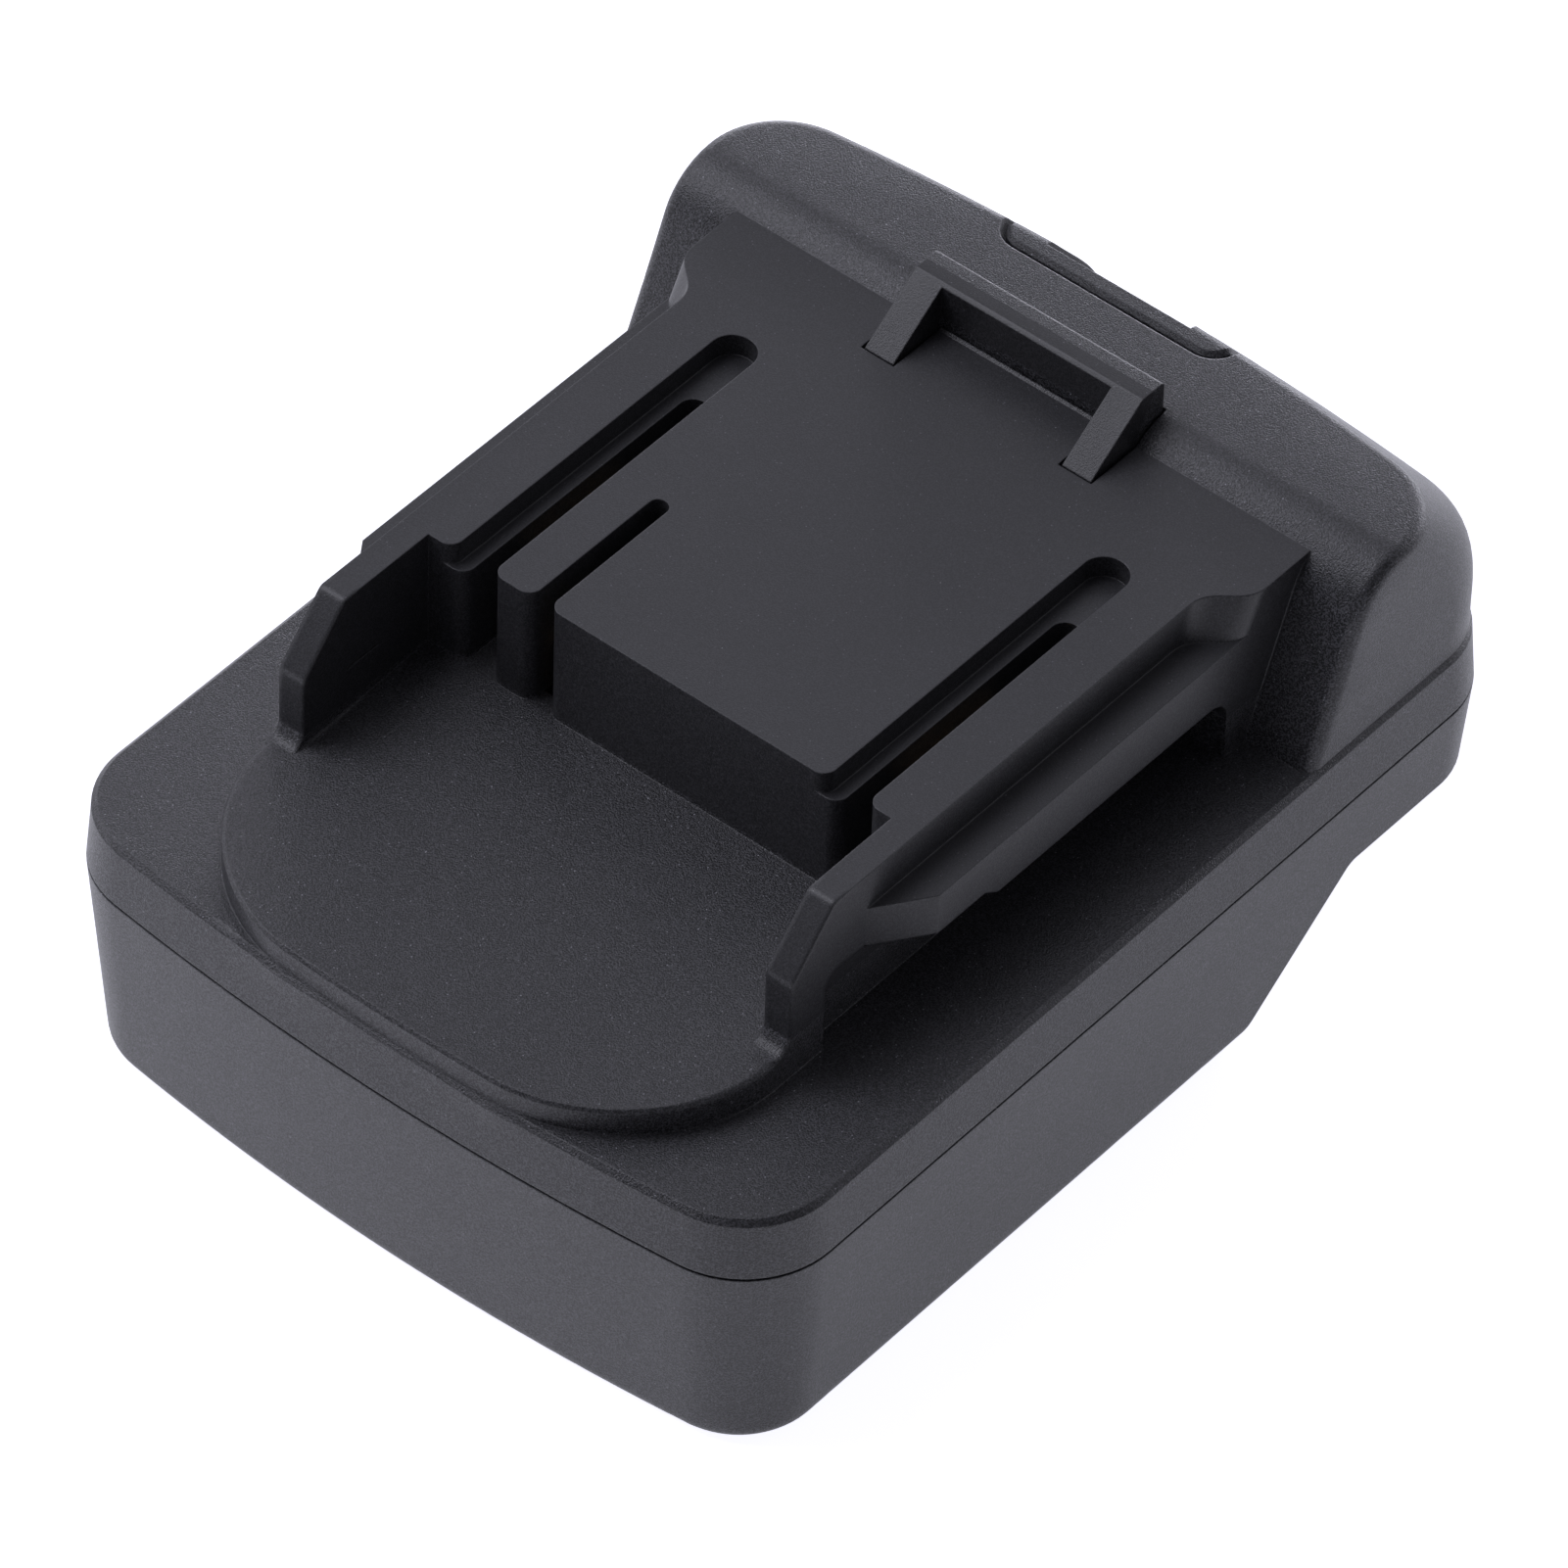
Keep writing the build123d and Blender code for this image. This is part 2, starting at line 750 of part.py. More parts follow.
# Upper housing
with BuildPart() as upper_housing:
    for level, drawn_in in (
        (body_depth, 0),
        (deck(-band_edge_chamfer), band_drawn_in * (1 - band_edge_chamfer / band_height)),
        (deck_height, band_drawn_in + band_edge_chamfer),
    ):
        with BuildSketch(Plane.XY.offset(level)):
            add(inset_outline(drawn_in))
    loft(ruled=True)
    add(hump.part)
    add(front_plate.part)
    block((-block_core_half_width, block_core_half_width), (block_front, block_rear), (0, block_height))
    add(rail.part)
    add(mirror(rail.part, about=Plane.YZ))
    # Upper bosses reach into the hump at the rear, so the hollows are cut first
    roof_drawn_in = band_drawn_in * (1 - deck_thickness / band_height)
    for level, drawn_in in ((body_depth, 0), (deck(-deck_thickness), roof_drawn_in)):
        with BuildSketch(Plane.XY.offset(level)):
            add(inset_outline(wall + seam_gap_depth + drawn_in))
    loft(mode=Mode.SUBTRACT)
    # Hollows under the plate, in the block and at both sides of the hump
    block(
        (-plate_hollow_half_width, plate_hollow_half_width),
        (plate_hollow_front, plate_hollow_rear),
        (-deck_thickness, plate_hollow_height),
        Mode.SUBTRACT,
    )
    block(
        (block_hollow_left, block_hollow_right),
        (block_front + block_front_wall, hump_foot - block_rear_wall),
        (-deck_thickness, block_height - roof_thickness),
        Mode.SUBTRACT,
    )
    for side_span in (
        (hump_hollow_inner, hump_hollow_outer),
        (-hump_hollow_outer, -hump_hollow_inner),
    ):
        block(
            side_span,
            (hump_hollow_front, hump_hollow_rear),
            (-deck_thickness, hump_hollow_height),
            Mode.SUBTRACT,
            hump_foot,
        )
    # Screw bosses with their pilot holes, and the rabbet for the rim below
    for boss_x, boss_station in ((front_screw_x, front_screw_station), (rear_screw_x, rear_screw_station)):
        with Locations(*[(side * boss_x, station(boss_station), body_depth) for side in (-1, 1)]):
            Cylinder(boss_radius, deck(-upper_boss_top) - body_depth, align=bottom_up)
            Cylinder(
                screw_shank_radius + screw_fit,
                deck(-pilot_cover) - body_depth,
                align=bottom_up,
                mode=Mode.SUBTRACT,
            )
    with BuildSketch(Plane.XY.offset(body_depth)):
        add(inset_outline(wall - rabbet_width + seam_gap_depth))
        add(inset_outline(wall + seam_gap_depth + rabbet_overrun), mode=Mode.SUBTRACT)
    extrude(amount=rabbet_height, mode=Mode.SUBTRACT)
    # Cavity of the release latch, with a lower roof in front and a sloping rear
    with BuildSketch(Plane.YZ):
        add(
            profile(
                [
                    (latch_cavity_front, -deck_thickness),
                    (latch_cavity_front, tongue_underside),
                    (cavity_roof_step, tongue_underside),
                    (cavity_roof_step, latch_cavity_roof),
                    (cavity_slope_start, latch_cavity_roof),
                    (latch_cavity_rear, cavity_slope_end_height),
                    (latch_cavity_rear, -deck_thickness),
                ],
                origin=hump_foot,
            )
        )
    extrude(amount=latch_cavity_half_width, both=True, mode=Mode.SUBTRACT)
    # Ribs that guide the latch carrier
    for rib_start in (front_rib_start, rear_rib_start):
        for rib_span in (
            (carrier_half_width + guide_rib_clearance, latch_cavity_half_width + inner_corner_radius),
            (-latch_cavity_half_width - inner_corner_radius, -carrier_half_width - guide_rib_clearance),
        ):
            block(
                rib_span,
                (rib_start, rib_start + guide_rib_width),
                (-deck_thickness, guide_rib_top),
                origin=hump_foot,
            )
    # Opening round the arms and the crossbar of the hook
    hook_opening_rear = hook_rear + latch_gap
    with BuildSketch(Plane.XY.offset(deck(carrier_top))):
        with BuildLine():
            Polyline(
                (-latch_hook_half_width - latch_gap, hump_station(hook_front - latch_gap)),
                (-latch_hook_half_width - latch_gap, hump_station(hook_opening_rear)),
                (latch_hook_half_width + latch_gap, hump_station(hook_opening_rear)),
                (latch_hook_half_width + latch_gap, hump_station(hook_front - latch_gap)),
                (latch_window_half_width - latch_gap, hump_station(hook_front - latch_gap)),
                (latch_window_half_width - latch_gap, hump_station(crossbar_front - latch_gap)),
                (-latch_window_half_width + latch_gap, hump_station(crossbar_front - latch_gap)),
                (-latch_window_half_width + latch_gap, hump_station(hook_front - latch_gap)),
                close=True,
            )
        make_face()
    extrude(amount=block_height, mode=Mode.SUBTRACT)
    # Notch for the button, open at the top and at the rear
    with BuildSketch(Plane.XY.offset(deck(notch_floor))) as notch_sketch:
        with BuildLine():
            Polyline(
                (-notch_half_width, hump_station(notch_front)),
                (notch_half_width, hump_station(notch_front)),
                (notch_half_width, station(rear_at_seam + past_body)),
                (-notch_half_width, station(rear_at_seam + past_body)),
                close=True,
            )
        make_face()
        fillet(notch_sketch.vertices().group_by(Axis.Y)[0], radius=notch_corner_radius)
    extrude(amount=hump_height + past_body, mode=Mode.SUBTRACT)
    # Slots: guides for the tool rails, clip chambers and the signal slot
    for side in (-1, 1):
        with BuildSketch(Plane.XY.offset(deck(block_height - guide_slot_depth))):
            add(slot_outline(side * guide_slot_offset, guide_slot_width, guide_slot_end))
        extrude(amount=guide_slot_depth + slot_headroom, mode=Mode.SUBTRACT)
        blade_slot_x = side * guide_slot_offset + blade_slot_offset
        with BuildSketch(Plane.XY.offset(deck(slot_floor))):
            add(slot_outline(blade_slot_x, blade_slot_width, blade_slot_end))
        extrude(amount=block_height - slot_floor + slot_headroom, mode=Mode.SUBTRACT)
        block(
            (blade_slot_x - blade_slot_width / 2, blade_slot_x + blade_slot_width / 2),
            (clip_front - clip_end_clearance, clip_front + clip_length + clip_end_clearance),
            (-deck_thickness, slot_floor),
            Mode.SUBTRACT,
        )
    with BuildSketch(Plane.XY.offset(deck(slot_floor))):
        add(slot_outline(signal_slot_x, signal_slot_width, signal_slot_end))
    extrude(amount=block_height - slot_floor + slot_headroom, mode=Mode.SUBTRACT)
    block(
        (signal_slot_x - signal_chamber_half_width, signal_slot_x + signal_chamber_half_width),
        (
            signal_clip_front - signal_clip_end_clearance,
            signal_clip_front + signal_clip_length + signal_clip_end_clearance,
        ),
        (-deck_thickness, slot_floor),
        Mode.SUBTRACT,
    )
    # Seam groove at the bottom and shadow line under the hump
    with BuildSketch(Plane.XY.offset(body_depth)):
        Rectangle(overall_length + past_body, overall_length + past_body)
        add(inset_outline(seam_gap_depth), mode=Mode.SUBTRACT)
    extrude(amount=seam_gap, mode=Mode.SUBTRACT)
    with BuildSketch(Plane.XY.offset(deck_height)):
        for growth, ring_mode in ((shadow_gap, Mode.ADD), (-shadow_gap_inset, Mode.SUBTRACT)):
            add(
                body_outline(
                    hump_half_width + growth,
                    hump_blank_front,
                    hump_rear + growth,
                    (hump_bow, hump_bow),
                    (0, hump_corner_radius + growth),
                ),
                mode=ring_mode,
            )
    extrude(amount=shadow_gap, mode=Mode.SUBTRACT)
export(upper_housing.part, "upper_housing")


# Release latch: hook, carrier, bridge, button and the apron behind it
with BuildPart() as button:
    with BuildSketch(Plane.XY.offset(deck(button_bottom))) as button_sketch:
        with BuildLine():
            Polyline(
                (-button_half_width, hump_station(button_front)),
                (button_half_width, hump_station(button_front)),
                (button_half_width, station(rear_at_seam)),
                (-button_half_width, station(rear_at_seam)),
                close=True,
            )
        make_face()
        fillet(button_sketch.vertices().group_by(Axis.Y)[0], radius=button_corner_radius)
    extrude(amount=hump_height)
    add(hump.part, mode=Mode.INTERSECT)
    rim_end = hump_station(button_front + button_corner_radius)
    front_rim = button.edges().group_by(Axis.Z)[-1].filter_by(lambda edge: edge.center().Y < rim_end)
    chamfer(front_rim.sort_by(Axis.Y)[:3], length=button_edge_chamfer)
    with BuildSketch(Plane.YZ):
        add(
            profile(
                [
                    (scoop_front, scoop_lead_height),
                    (scoop_knee, scoop_knee_height),
                    (scoop_rear, scoop_rear_height),
                    (scoop_rear + past_body, scoop_rear_height),
                    (scoop_rear + past_body, scoop_lead_height),
                ],
                rounded=[(1, scoop_floor_radius)],
                origin=hump_foot,
            )
        )
    extrude(amount=scoop_half_width, both=True, mode=Mode.SUBTRACT)

with BuildPart() as release_latch:
    with BuildSketch(Plane.YZ):
        add(
            profile(
                [
                    (hook_front, carrier_bottom),
                    (hook_front, hook_toe),
                    (hook_crest, hook_top),
                    (hook_rear, hook_top),
                    (hook_rear, carrier_bottom),
                ],
                rounded=[(2, hook_edge_radius), (3, hook_edge_radius)],
                origin=hump_foot,
            )
        )
    extrude(amount=latch_hook_half_width, both=True)
    block(
        (-latch_window_half_width, latch_window_half_width),
        (hook_front - past_body, crossbar_front),
        (carrier_top, hook_top + past_body),
        Mode.SUBTRACT,
        hump_foot,
    )
    for half_width, latch_span, height_span in (
        (carrier_half_width, (carrier_front, carrier_rear), (carrier_bottom, carrier_top)),
        (bridge_half_width, (bridge_front, bridge_rear), (bridge_bottom, bridge_top)),
        (apron_half_width, (apron_front, apron_rear), (apron_bottom, apron_top)),
    ):
        block((-half_width, half_width), latch_span, height_span, origin=hump_foot)
    add(button.part)
    pocket_mouth = deck(carrier_bottom)
    with Locations(*[(side * spring_x, hump_station(spring_start), pocket_mouth) for side in (-1, 1)]):
        Cylinder(spring_pocket_radius, spring_pocket_depth, align=bottom_up, mode=Mode.SUBTRACT)
export(release_latch.part, "release_latch")


# Compression springs of the latch
for side, side_name in ((-1, "left"), (1, "right")):
    coil_foot = deck(spring_seat) + spring_wire_radius + spring_end_clearance
    coil_head = deck(carrier_bottom + spring_pocket_depth) - spring_wire_radius - spring_end_clearance
    with BuildPart() as latch_spring:
        with BuildLine(Plane((side * spring_x, hump_station(spring_start), coil_foot))) as coil:
            Helix(
                pitch=(coil_head - coil_foot) / spring_turns,
                height=coil_head - coil_foot,
                radius=spring_radius,
            )
        with BuildSketch(Plane(coil.line @ 0, z_dir=coil.line % 0)):
            RegularPolygon(spring_wire_radius, spring_wire_sides)
        sweep(is_frenet=True)
    export(latch_spring.part, f"latch_spring_{side_name}")


def clip_profile(centre_x, half_width, thickness, throat_gap, top_gap):
    """Cross-section of a spring clip: base, two fingers and a flared top."""
    base = -deck_thickness
    left = [
        (half_width, base),
        (half_width, clip_shoulder_height),
        (throat_gap + thickness, clip_throat_height),
        (top_gap + thickness, clip_top_height),
        (top_gap, clip_top_height),
        (throat_gap, clip_throat_height),
        (half_width - thickness, clip_shoulder_height),
        (half_width - thickness, base + clip_base_thickness),
    ]
    right_side = [(centre_x + across, deck(up)) for across, up in left]
    left_side = [(centre_x - across, deck(up)) for across, up in reversed(left)]
    with BuildSketch() as outline:
        with BuildLine():
            Polyline(*right_side, *left_side, close=True)
        make_face()
    return outline.sketch


# Contact clips in the terminal block, with tails down through the carrier
clip_places = {
    "positive": (
        guide_slot_offset + blade_slot_offset,
        clip_front,
        clip_length,
        (clip_half_width, clip_thickness, clip_throat_half_gap, clip_top_half_gap),
        clip_tail_half_width,
    ),
    "negative": (
        -guide_slot_offset + blade_slot_offset,
        clip_front,
        clip_length,
        (clip_half_width, clip_thickness, clip_throat_half_gap, clip_top_half_gap),
        clip_tail_half_width,
    ),
    "signal": (
        signal_slot_x,
        signal_clip_front,
        signal_clip_length,
        (signal_clip_half_width, signal_clip_thickness, signal_clip_throat_gap, signal_clip_top_gap),
        signal_tail_half_width,
    ),
}
for pole, (clip_x, front_end, length, section, tail_half_width) in clip_places.items():
    with BuildPart() as clip:
        with BuildSketch(Plane.XZ.offset(-station(front_end + length))):
            add(clip_profile(clip_x, *section))
        extrude(amount=length)
        block(
            (clip_x - tail_half_width, clip_x + tail_half_width),
            (front_end, front_end + clip_tail_thickness),
            (clip_tail_bottom, clip_base_thickness - deck_thickness),
        )
    export(clip.part, f"tool_contact_{pole}")


# Insulating carrier under the clips
with BuildPart() as contact_carrier:
    block(
        (-carrier_plate_half_width, carrier_plate_half_width),
        (carrier_plate_front, carrier_plate_rear),
        (carrier_plate_bottom, -deck_thickness),
    )
    fillet(contact_carrier.edges().filter_by(Axis.Z), radius=inner_corner_radius)
    for clip_x, front_end, length, section, tail_half_width in clip_places.values():
        block(
            (clip_x - tail_half_width - tail_slot_margin, clip_x + tail_half_width + tail_slot_margin),
            (front_end - tail_slot_margin, front_end + clip_tail_thickness + tail_slot_margin),
            (carrier_plate_bottom, -deck_thickness),
            Mode.SUBTRACT,
        )
export(contact_carrier.part, "contact_carrier")


# Leads from the battery blades to the clip tails, with tangent bends
for pole, (clip_x, front_end, length, section, tail_half_width) in clip_places.items():
    blade_x = blade_places[pole]
    run_height = deck(lead_run_height)
    turn_half = abs(clip_x - blade_x) / 2
    with BuildPart() as lead:
        with BuildLine() as route:
            FilletPolyline(
                (blade_x, station(lead_station), blade_top),
                (blade_x, station(lead_station), run_height),
                (blade_x, station(lead_turn_station - turn_half), run_height),
                (clip_x, station(lead_turn_station + turn_half), run_height),
                (clip_x, station(front_end), run_height),
                radius=[lead_rise_radius, lead_bend_radius, lead_bend_radius],
            )
        with BuildSketch(Plane(route.line @ 0, z_dir=route.line % 0)):
            RegularPolygon(signal_lead_radius if pole == "signal" else lead_radius, lead_sides)
        sweep()
    export(lead.part, f"lead_{pole}")


# Self-tapping screws, heads down, in pairs
for name, screw_x, screw_station, head_seat in (
    ("front_screws", front_screw_x, front_screw_station, front_head_seat),
    ("rear_screws", rear_screw_x, rear_screw_station, rear_head_seat),
):
    with BuildPart() as screws:
        with Locations(*[(side * screw_x, station(screw_station), head_seat) for side in (-1, 1)]):
            Cylinder(screw_head_radius, screw_head_height, align=top_down)
            Cylinder(
                screw_shank_radius,
                deck(-pilot_cover - tip_clearance) - head_seat,
                align=bottom_up,
            )
    export(screws.part, name)
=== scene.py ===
"""Slide-on battery adapter for a cordless tool: its finishes, screws, springs and studio."""

import json
import logging
import math
from dataclasses import dataclass, field
from enum import Enum
from typing import Any, Mapping, Optional, Sequence, Union

import bmesh
import bpy
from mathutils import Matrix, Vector


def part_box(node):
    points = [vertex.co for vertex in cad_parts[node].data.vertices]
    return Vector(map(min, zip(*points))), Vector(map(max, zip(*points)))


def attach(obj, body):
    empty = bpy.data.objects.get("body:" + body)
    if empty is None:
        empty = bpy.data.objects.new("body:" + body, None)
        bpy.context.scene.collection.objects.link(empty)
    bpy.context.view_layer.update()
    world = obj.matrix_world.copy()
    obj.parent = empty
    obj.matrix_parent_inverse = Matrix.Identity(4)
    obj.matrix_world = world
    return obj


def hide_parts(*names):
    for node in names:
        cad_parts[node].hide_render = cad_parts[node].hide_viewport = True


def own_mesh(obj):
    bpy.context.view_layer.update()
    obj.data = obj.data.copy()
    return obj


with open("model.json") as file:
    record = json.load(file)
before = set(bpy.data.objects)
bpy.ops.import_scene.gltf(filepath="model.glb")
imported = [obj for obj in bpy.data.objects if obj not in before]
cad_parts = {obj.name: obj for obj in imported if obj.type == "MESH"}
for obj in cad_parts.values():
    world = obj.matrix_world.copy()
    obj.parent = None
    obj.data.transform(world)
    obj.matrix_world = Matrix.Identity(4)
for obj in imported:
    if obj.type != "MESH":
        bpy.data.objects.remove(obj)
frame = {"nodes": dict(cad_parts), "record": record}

LOG = logging.getLogger("adapter")
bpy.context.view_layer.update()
MM = 0.001
WELD = 0.002 * MM
BEVEL_SAMPLES = 6
LEAD_SMOOTH = math.radians(75.0)

Number = Union[int, float]
Colour = tuple[float, float, float]
Point = tuple[float, float, float]


class Wire:
    """A node socket that takes part in Python sums."""

    def __init__(self, bench: "NodeBench", socket: bpy.types.NodeSocket) -> None:
        """Wrap a socket.

        Args:
            bench: The bench that the socket belongs to.
            socket: The output socket.
        """
        self.bench = bench
        self.socket = socket

    def _math(self, operation: str, first: Any, second: Any = None) -> "Wire":
        """Add a Math node.

        Args:
            operation: Name of the Math operation.
            first: First value or wire.
            second: Second value or wire, if the operation takes two.

        Returns:
            The wire of the result.
        """
        values = {0: first} if second is None else {0: first, 1: second}
        return self.bench.node("ShaderNodeMath", {"operation": operation}, values)["Value"]

    def __add__(self, other: Any) -> "Wire":
        """Sum of this wire and another value."""
        return self._math("ADD", self, other)

    def __radd__(self, other: Any) -> "Wire":
        """Sum with a plain number on the left."""
        return self._math("ADD", other, self)

    def __sub__(self, other: Any) -> "Wire":
        """This wire less another value."""
        return self._math("SUBTRACT", self, other)

    def __rsub__(self, other: Any) -> "Wire":
        """A plain number less this wire."""
        return self._math("SUBTRACT", other, self)

    def __mul__(self, other: Any) -> "Wire":
        """Product of this wire and another value."""
        return self._math("MULTIPLY", self, other)

    def __rmul__(self, other: Any) -> "Wire":
        """Product with a plain number on the left."""
        return self._math("MULTIPLY", other, self)

    def __truediv__(self, other: Any) -> "Wire":
        """This wire divided by another value."""
        return self._math("DIVIDE", self, other)

    def __pow__(self, other: Any) -> "Wire":
        """This wire raised to a power."""
        return self._math("POWER", self, other)

    def size(self) -> "Wire":
        """Absolute value of this wire."""
        return self._math("ABSOLUTE", self)

    def whole(self) -> "Wire":
        """This wire rounded down."""
        return self._math("FLOOR", self)

    def fraction(self) -> "Wire":
        """What this wire has past its whole number."""
        return self._math("FRACT", self)

    def sine(self) -> "Wire":
        """Sine of this wire in radians."""
        return self._math("SINE", self)

    def cosine(self) -> "Wire":
        """Cosine of this wire in radians."""
        return self._math("COSINE", self)

    def above(self, other: Any) -> "Wire":
        """1 where this wire is above another value, and else 0."""
        return self._math("GREATER_THAN", self, other)

    def least(self, other: Any) -> "Wire":
        """The smaller of this wire and another value."""
        return self._math("MINIMUM", self, other)

    def most(self, other: Any) -> "Wire":
        """The larger of this wire and another value."""
        return self._math("MAXIMUM", self, other)

    def ramp(self, low: Number, high: Number, start: Number = 0.0, end: Number = 1.0) -> "Wire":
        """Smooth step from one value to another.

        Args:
            low: Input value where the step starts.
            high: Input value where the step ends.
            start: Output below the step.
            end: Output above the step.

        Returns:
            The stepped wire.
        """
        sockets = {
            "Value": self,
            "From Min": low,
            "From Max": high,
            "To Min": start,
            "To Max": end,
        }
        settings = {"interpolation_type": "SMOOTHSTEP"}
        return self.bench.node("ShaderNodeMapRange", settings, sockets)["Result"]

    def past(self, edge: float, fade: float) -> "Wire":
        """Mask that is 1 above an edge and fades over it."""
        return (self - edge).ramp(-fade, fade)

    def before(self, edge: float, fade: float) -> "Wire":
        """Mask that is 1 below an edge and fades over it."""
        return (self - edge).ramp(-fade, fade, 1.0, 0.0)


class Outputs:
    """The outputs of one node, read by name as wires."""

    def __init__(self, bench: "NodeBench", made: bpy.types.Node) -> None:
        """Keep the node that the wires come from.

        Args:
            bench: The bench.
            made: The node.
        """
        self.bench = bench
        self.made = made

    def __getitem__(self, name: Union[str, int]) -> Wire:
        """Wire of the named or numbered output."""
        return Wire(self.bench, self.made.outputs[name])


class NodeBench:
    """Adds nodes to one node tree."""

    def __init__(self, tree: bpy.types.NodeTree) -> None:
        """Keep the tree.

        Args:
            tree: The node tree.
        """
        self.tree = tree

    def node(
        self,
        kind: str,
        settings: Mapping[str, Any],
        sockets: Mapping[Union[str, int], Any],
    ) -> Outputs:
        """Add a node, set its options and fill its sockets.

        Args:
            kind: Blender's name for the node type.
            settings: Properties that are set before any socket.
            sockets: Values or wires by input name or number.

        Returns:
            The node's outputs.
        """
        made = self.tree.nodes.new(kind)
        for key, value in settings.items():
            setattr(made, key, value)
        for key, value in sockets.items():
            if isinstance(value, Wire):
                self.tree.links.new(value.socket, made.inputs[key])
            else:
                made.inputs[key].default_value = value
        return Outputs(self, made)

    def axes(self, vector: Wire) -> tuple[Wire, Wire, Wire]:
        """The three parts of a vector wire."""
        parts = self.node("ShaderNodeSeparateXYZ", {}, {"Vector": vector})
        return parts["X"], parts["Y"], parts["Z"]

    def vector(self, parts: Mapping[str, Any]) -> Wire:
        """Vector of its parts, given by axis."""
        return self.node("ShaderNodeCombineXYZ", {}, parts)["Vector"]

    def shifted(self, first: Wire, second: Wire) -> Wire:
        """Sum of two vectors."""
        sockets = {0: first, 1: second}
        return self.node("ShaderNodeVectorMath", {"operation": "ADD"}, sockets)["Vector"]


class MaterialBench(NodeBench):
    """Builds one procedural material around a Principled shader."""

    def __init__(self, name: str) -> None:
        """Start an empty material.

        Args:
            name: Name of the material.
        """
        self.material = bpy.data.materials.new(name)
        self.material.use_nodes = True
        super().__init__(self.material.node_tree)
        self.tree.nodes.clear()

    def place(self) -> Wire:
        """Position on the object, in metres."""
        return self.node("ShaderNodeTexCoord", {}, {})["Object"]

    def noise(
        self, cell: float, detail: float, rough: float, place: Optional[Wire] = None
    ) -> Wire:
        """Cloud-like noise.

        Args:
            cell: Size of its features in metres.
            detail: Octaves.
            rough: Strength of the finer octaves.
            place: Position that it is read at, if not the plain one.

        Returns:
            Wire from 0 to 1.
        """
        sockets = {
            "Vector": place or self.place(),
            "Scale": 1.0 / cell,
            "Detail": detail,
            "Roughness": rough,
        }
        return self.node("ShaderNodeTexNoise", {"noise_dimensions": "3D"}, sockets)["Fac"]

    def cells(self, cell: float) -> Outputs:
        """Cell pattern with its distance and random colour.

        Args:
            cell: Size of a cell in metres.

        Returns:
            The pattern's outputs.
        """
        settings = {"feature": "F1", "voronoi_dimensions": "3D"}
        sockets = {"Vector": self.place(), "Scale": 1.0 / cell, "Randomness": 1.0}
        return self.node("ShaderNodeTexVoronoi", settings, sockets)

    def surface_normal(self) -> Wire:
        """Normal of the surface before any bump."""
        return self.node("ShaderNodeNewGeometry", {}, {})["Normal"]

    def upward(self) -> Wire:
        """Mask that is 1 on faces that look up and 0 on walls."""
        return self.axes(self.surface_normal())[2].ramp(0.25, 0.8)

    def blend(self, share: Any, first: Any, second: Any) -> Wire:
        """Mix of two colours.

        Args:
            share: Share of the second colour.
            first: First colour or wire.
            second: Second colour or wire.

        Returns:
            Wire of the mixed colour.
        """
        sockets = {"Factor": share, 6: first, 7: second}
        return self.node("ShaderNodeMix", {"data_type": "RGBA"}, sockets)[2]

    def rounded_normal(self, radius: float) -> tuple[Wire, Wire]:
        """Normal that rounds the edges, and a mask of those edges.

        Args:
            radius: Edge radius in metres.

        Returns:
            The rounded normal and a mask that is 0 on flats.
        """
        bevel = self.node("ShaderNodeBevel", {"samples": BEVEL_SAMPLES}, {"Radius": radius})
        rounded = bevel["Normal"]
        both = {0: rounded, 1: self.surface_normal()}
        facing = self.node("ShaderNodeVectorMath", {"operation": "DOT_PRODUCT"}, both)["Value"]
        return rounded, (1.0 - facing).ramp(0.02, 0.35)

    def blend_normals(self, share: Wire, first: Wire, second: Wire) -> Wire:
        """Mix of two normals, brought back to unit length.

        Args:
            share: Share of the second normal.
            first: First normal.
            second: Second normal.

        Returns:
            Wire of the mixed normal.
        """
        sockets = {"Factor": share, 4: first, 5: second}
        mixed = self.node("ShaderNodeMix", {"data_type": "VECTOR"}, sockets)[1]
        return self.node("ShaderNodeVectorMath", {"operation": "NORMALIZE"}, {0: mixed})["Vector"]

    def bump(self, height: Any, depth: float, normal: Wire) -> Wire:
        """Bump whose height runs from 0 to 1.

        Args:
            height: Height wire.
            depth: Depth in metres for a height of 1.
            normal: Normal that it starts from.

        Returns:
            Wire of the bumped normal.
        """
        sockets = {"Strength": 1.0, "Distance": depth, "Height": height, "Normal": normal}
        return self.node("ShaderNodeBump", {}, sockets)["Normal"]

    def finish(self, sockets: Mapping[Union[str, int], Any]) -> bpy.types.Material:
        """Close the material with a Principled shader.

        Args:
            sockets: Values or wires of the shader.

        Returns:
            The finished material.
        """
        shader = self.node("ShaderNodeBsdfPrincipled", {}, sockets)
        output = self.tree.nodes.new("ShaderNodeOutputMaterial")
        self.tree.links.new(shader.made.outputs["BSDF"], output.inputs["Surface"])
        return self.material


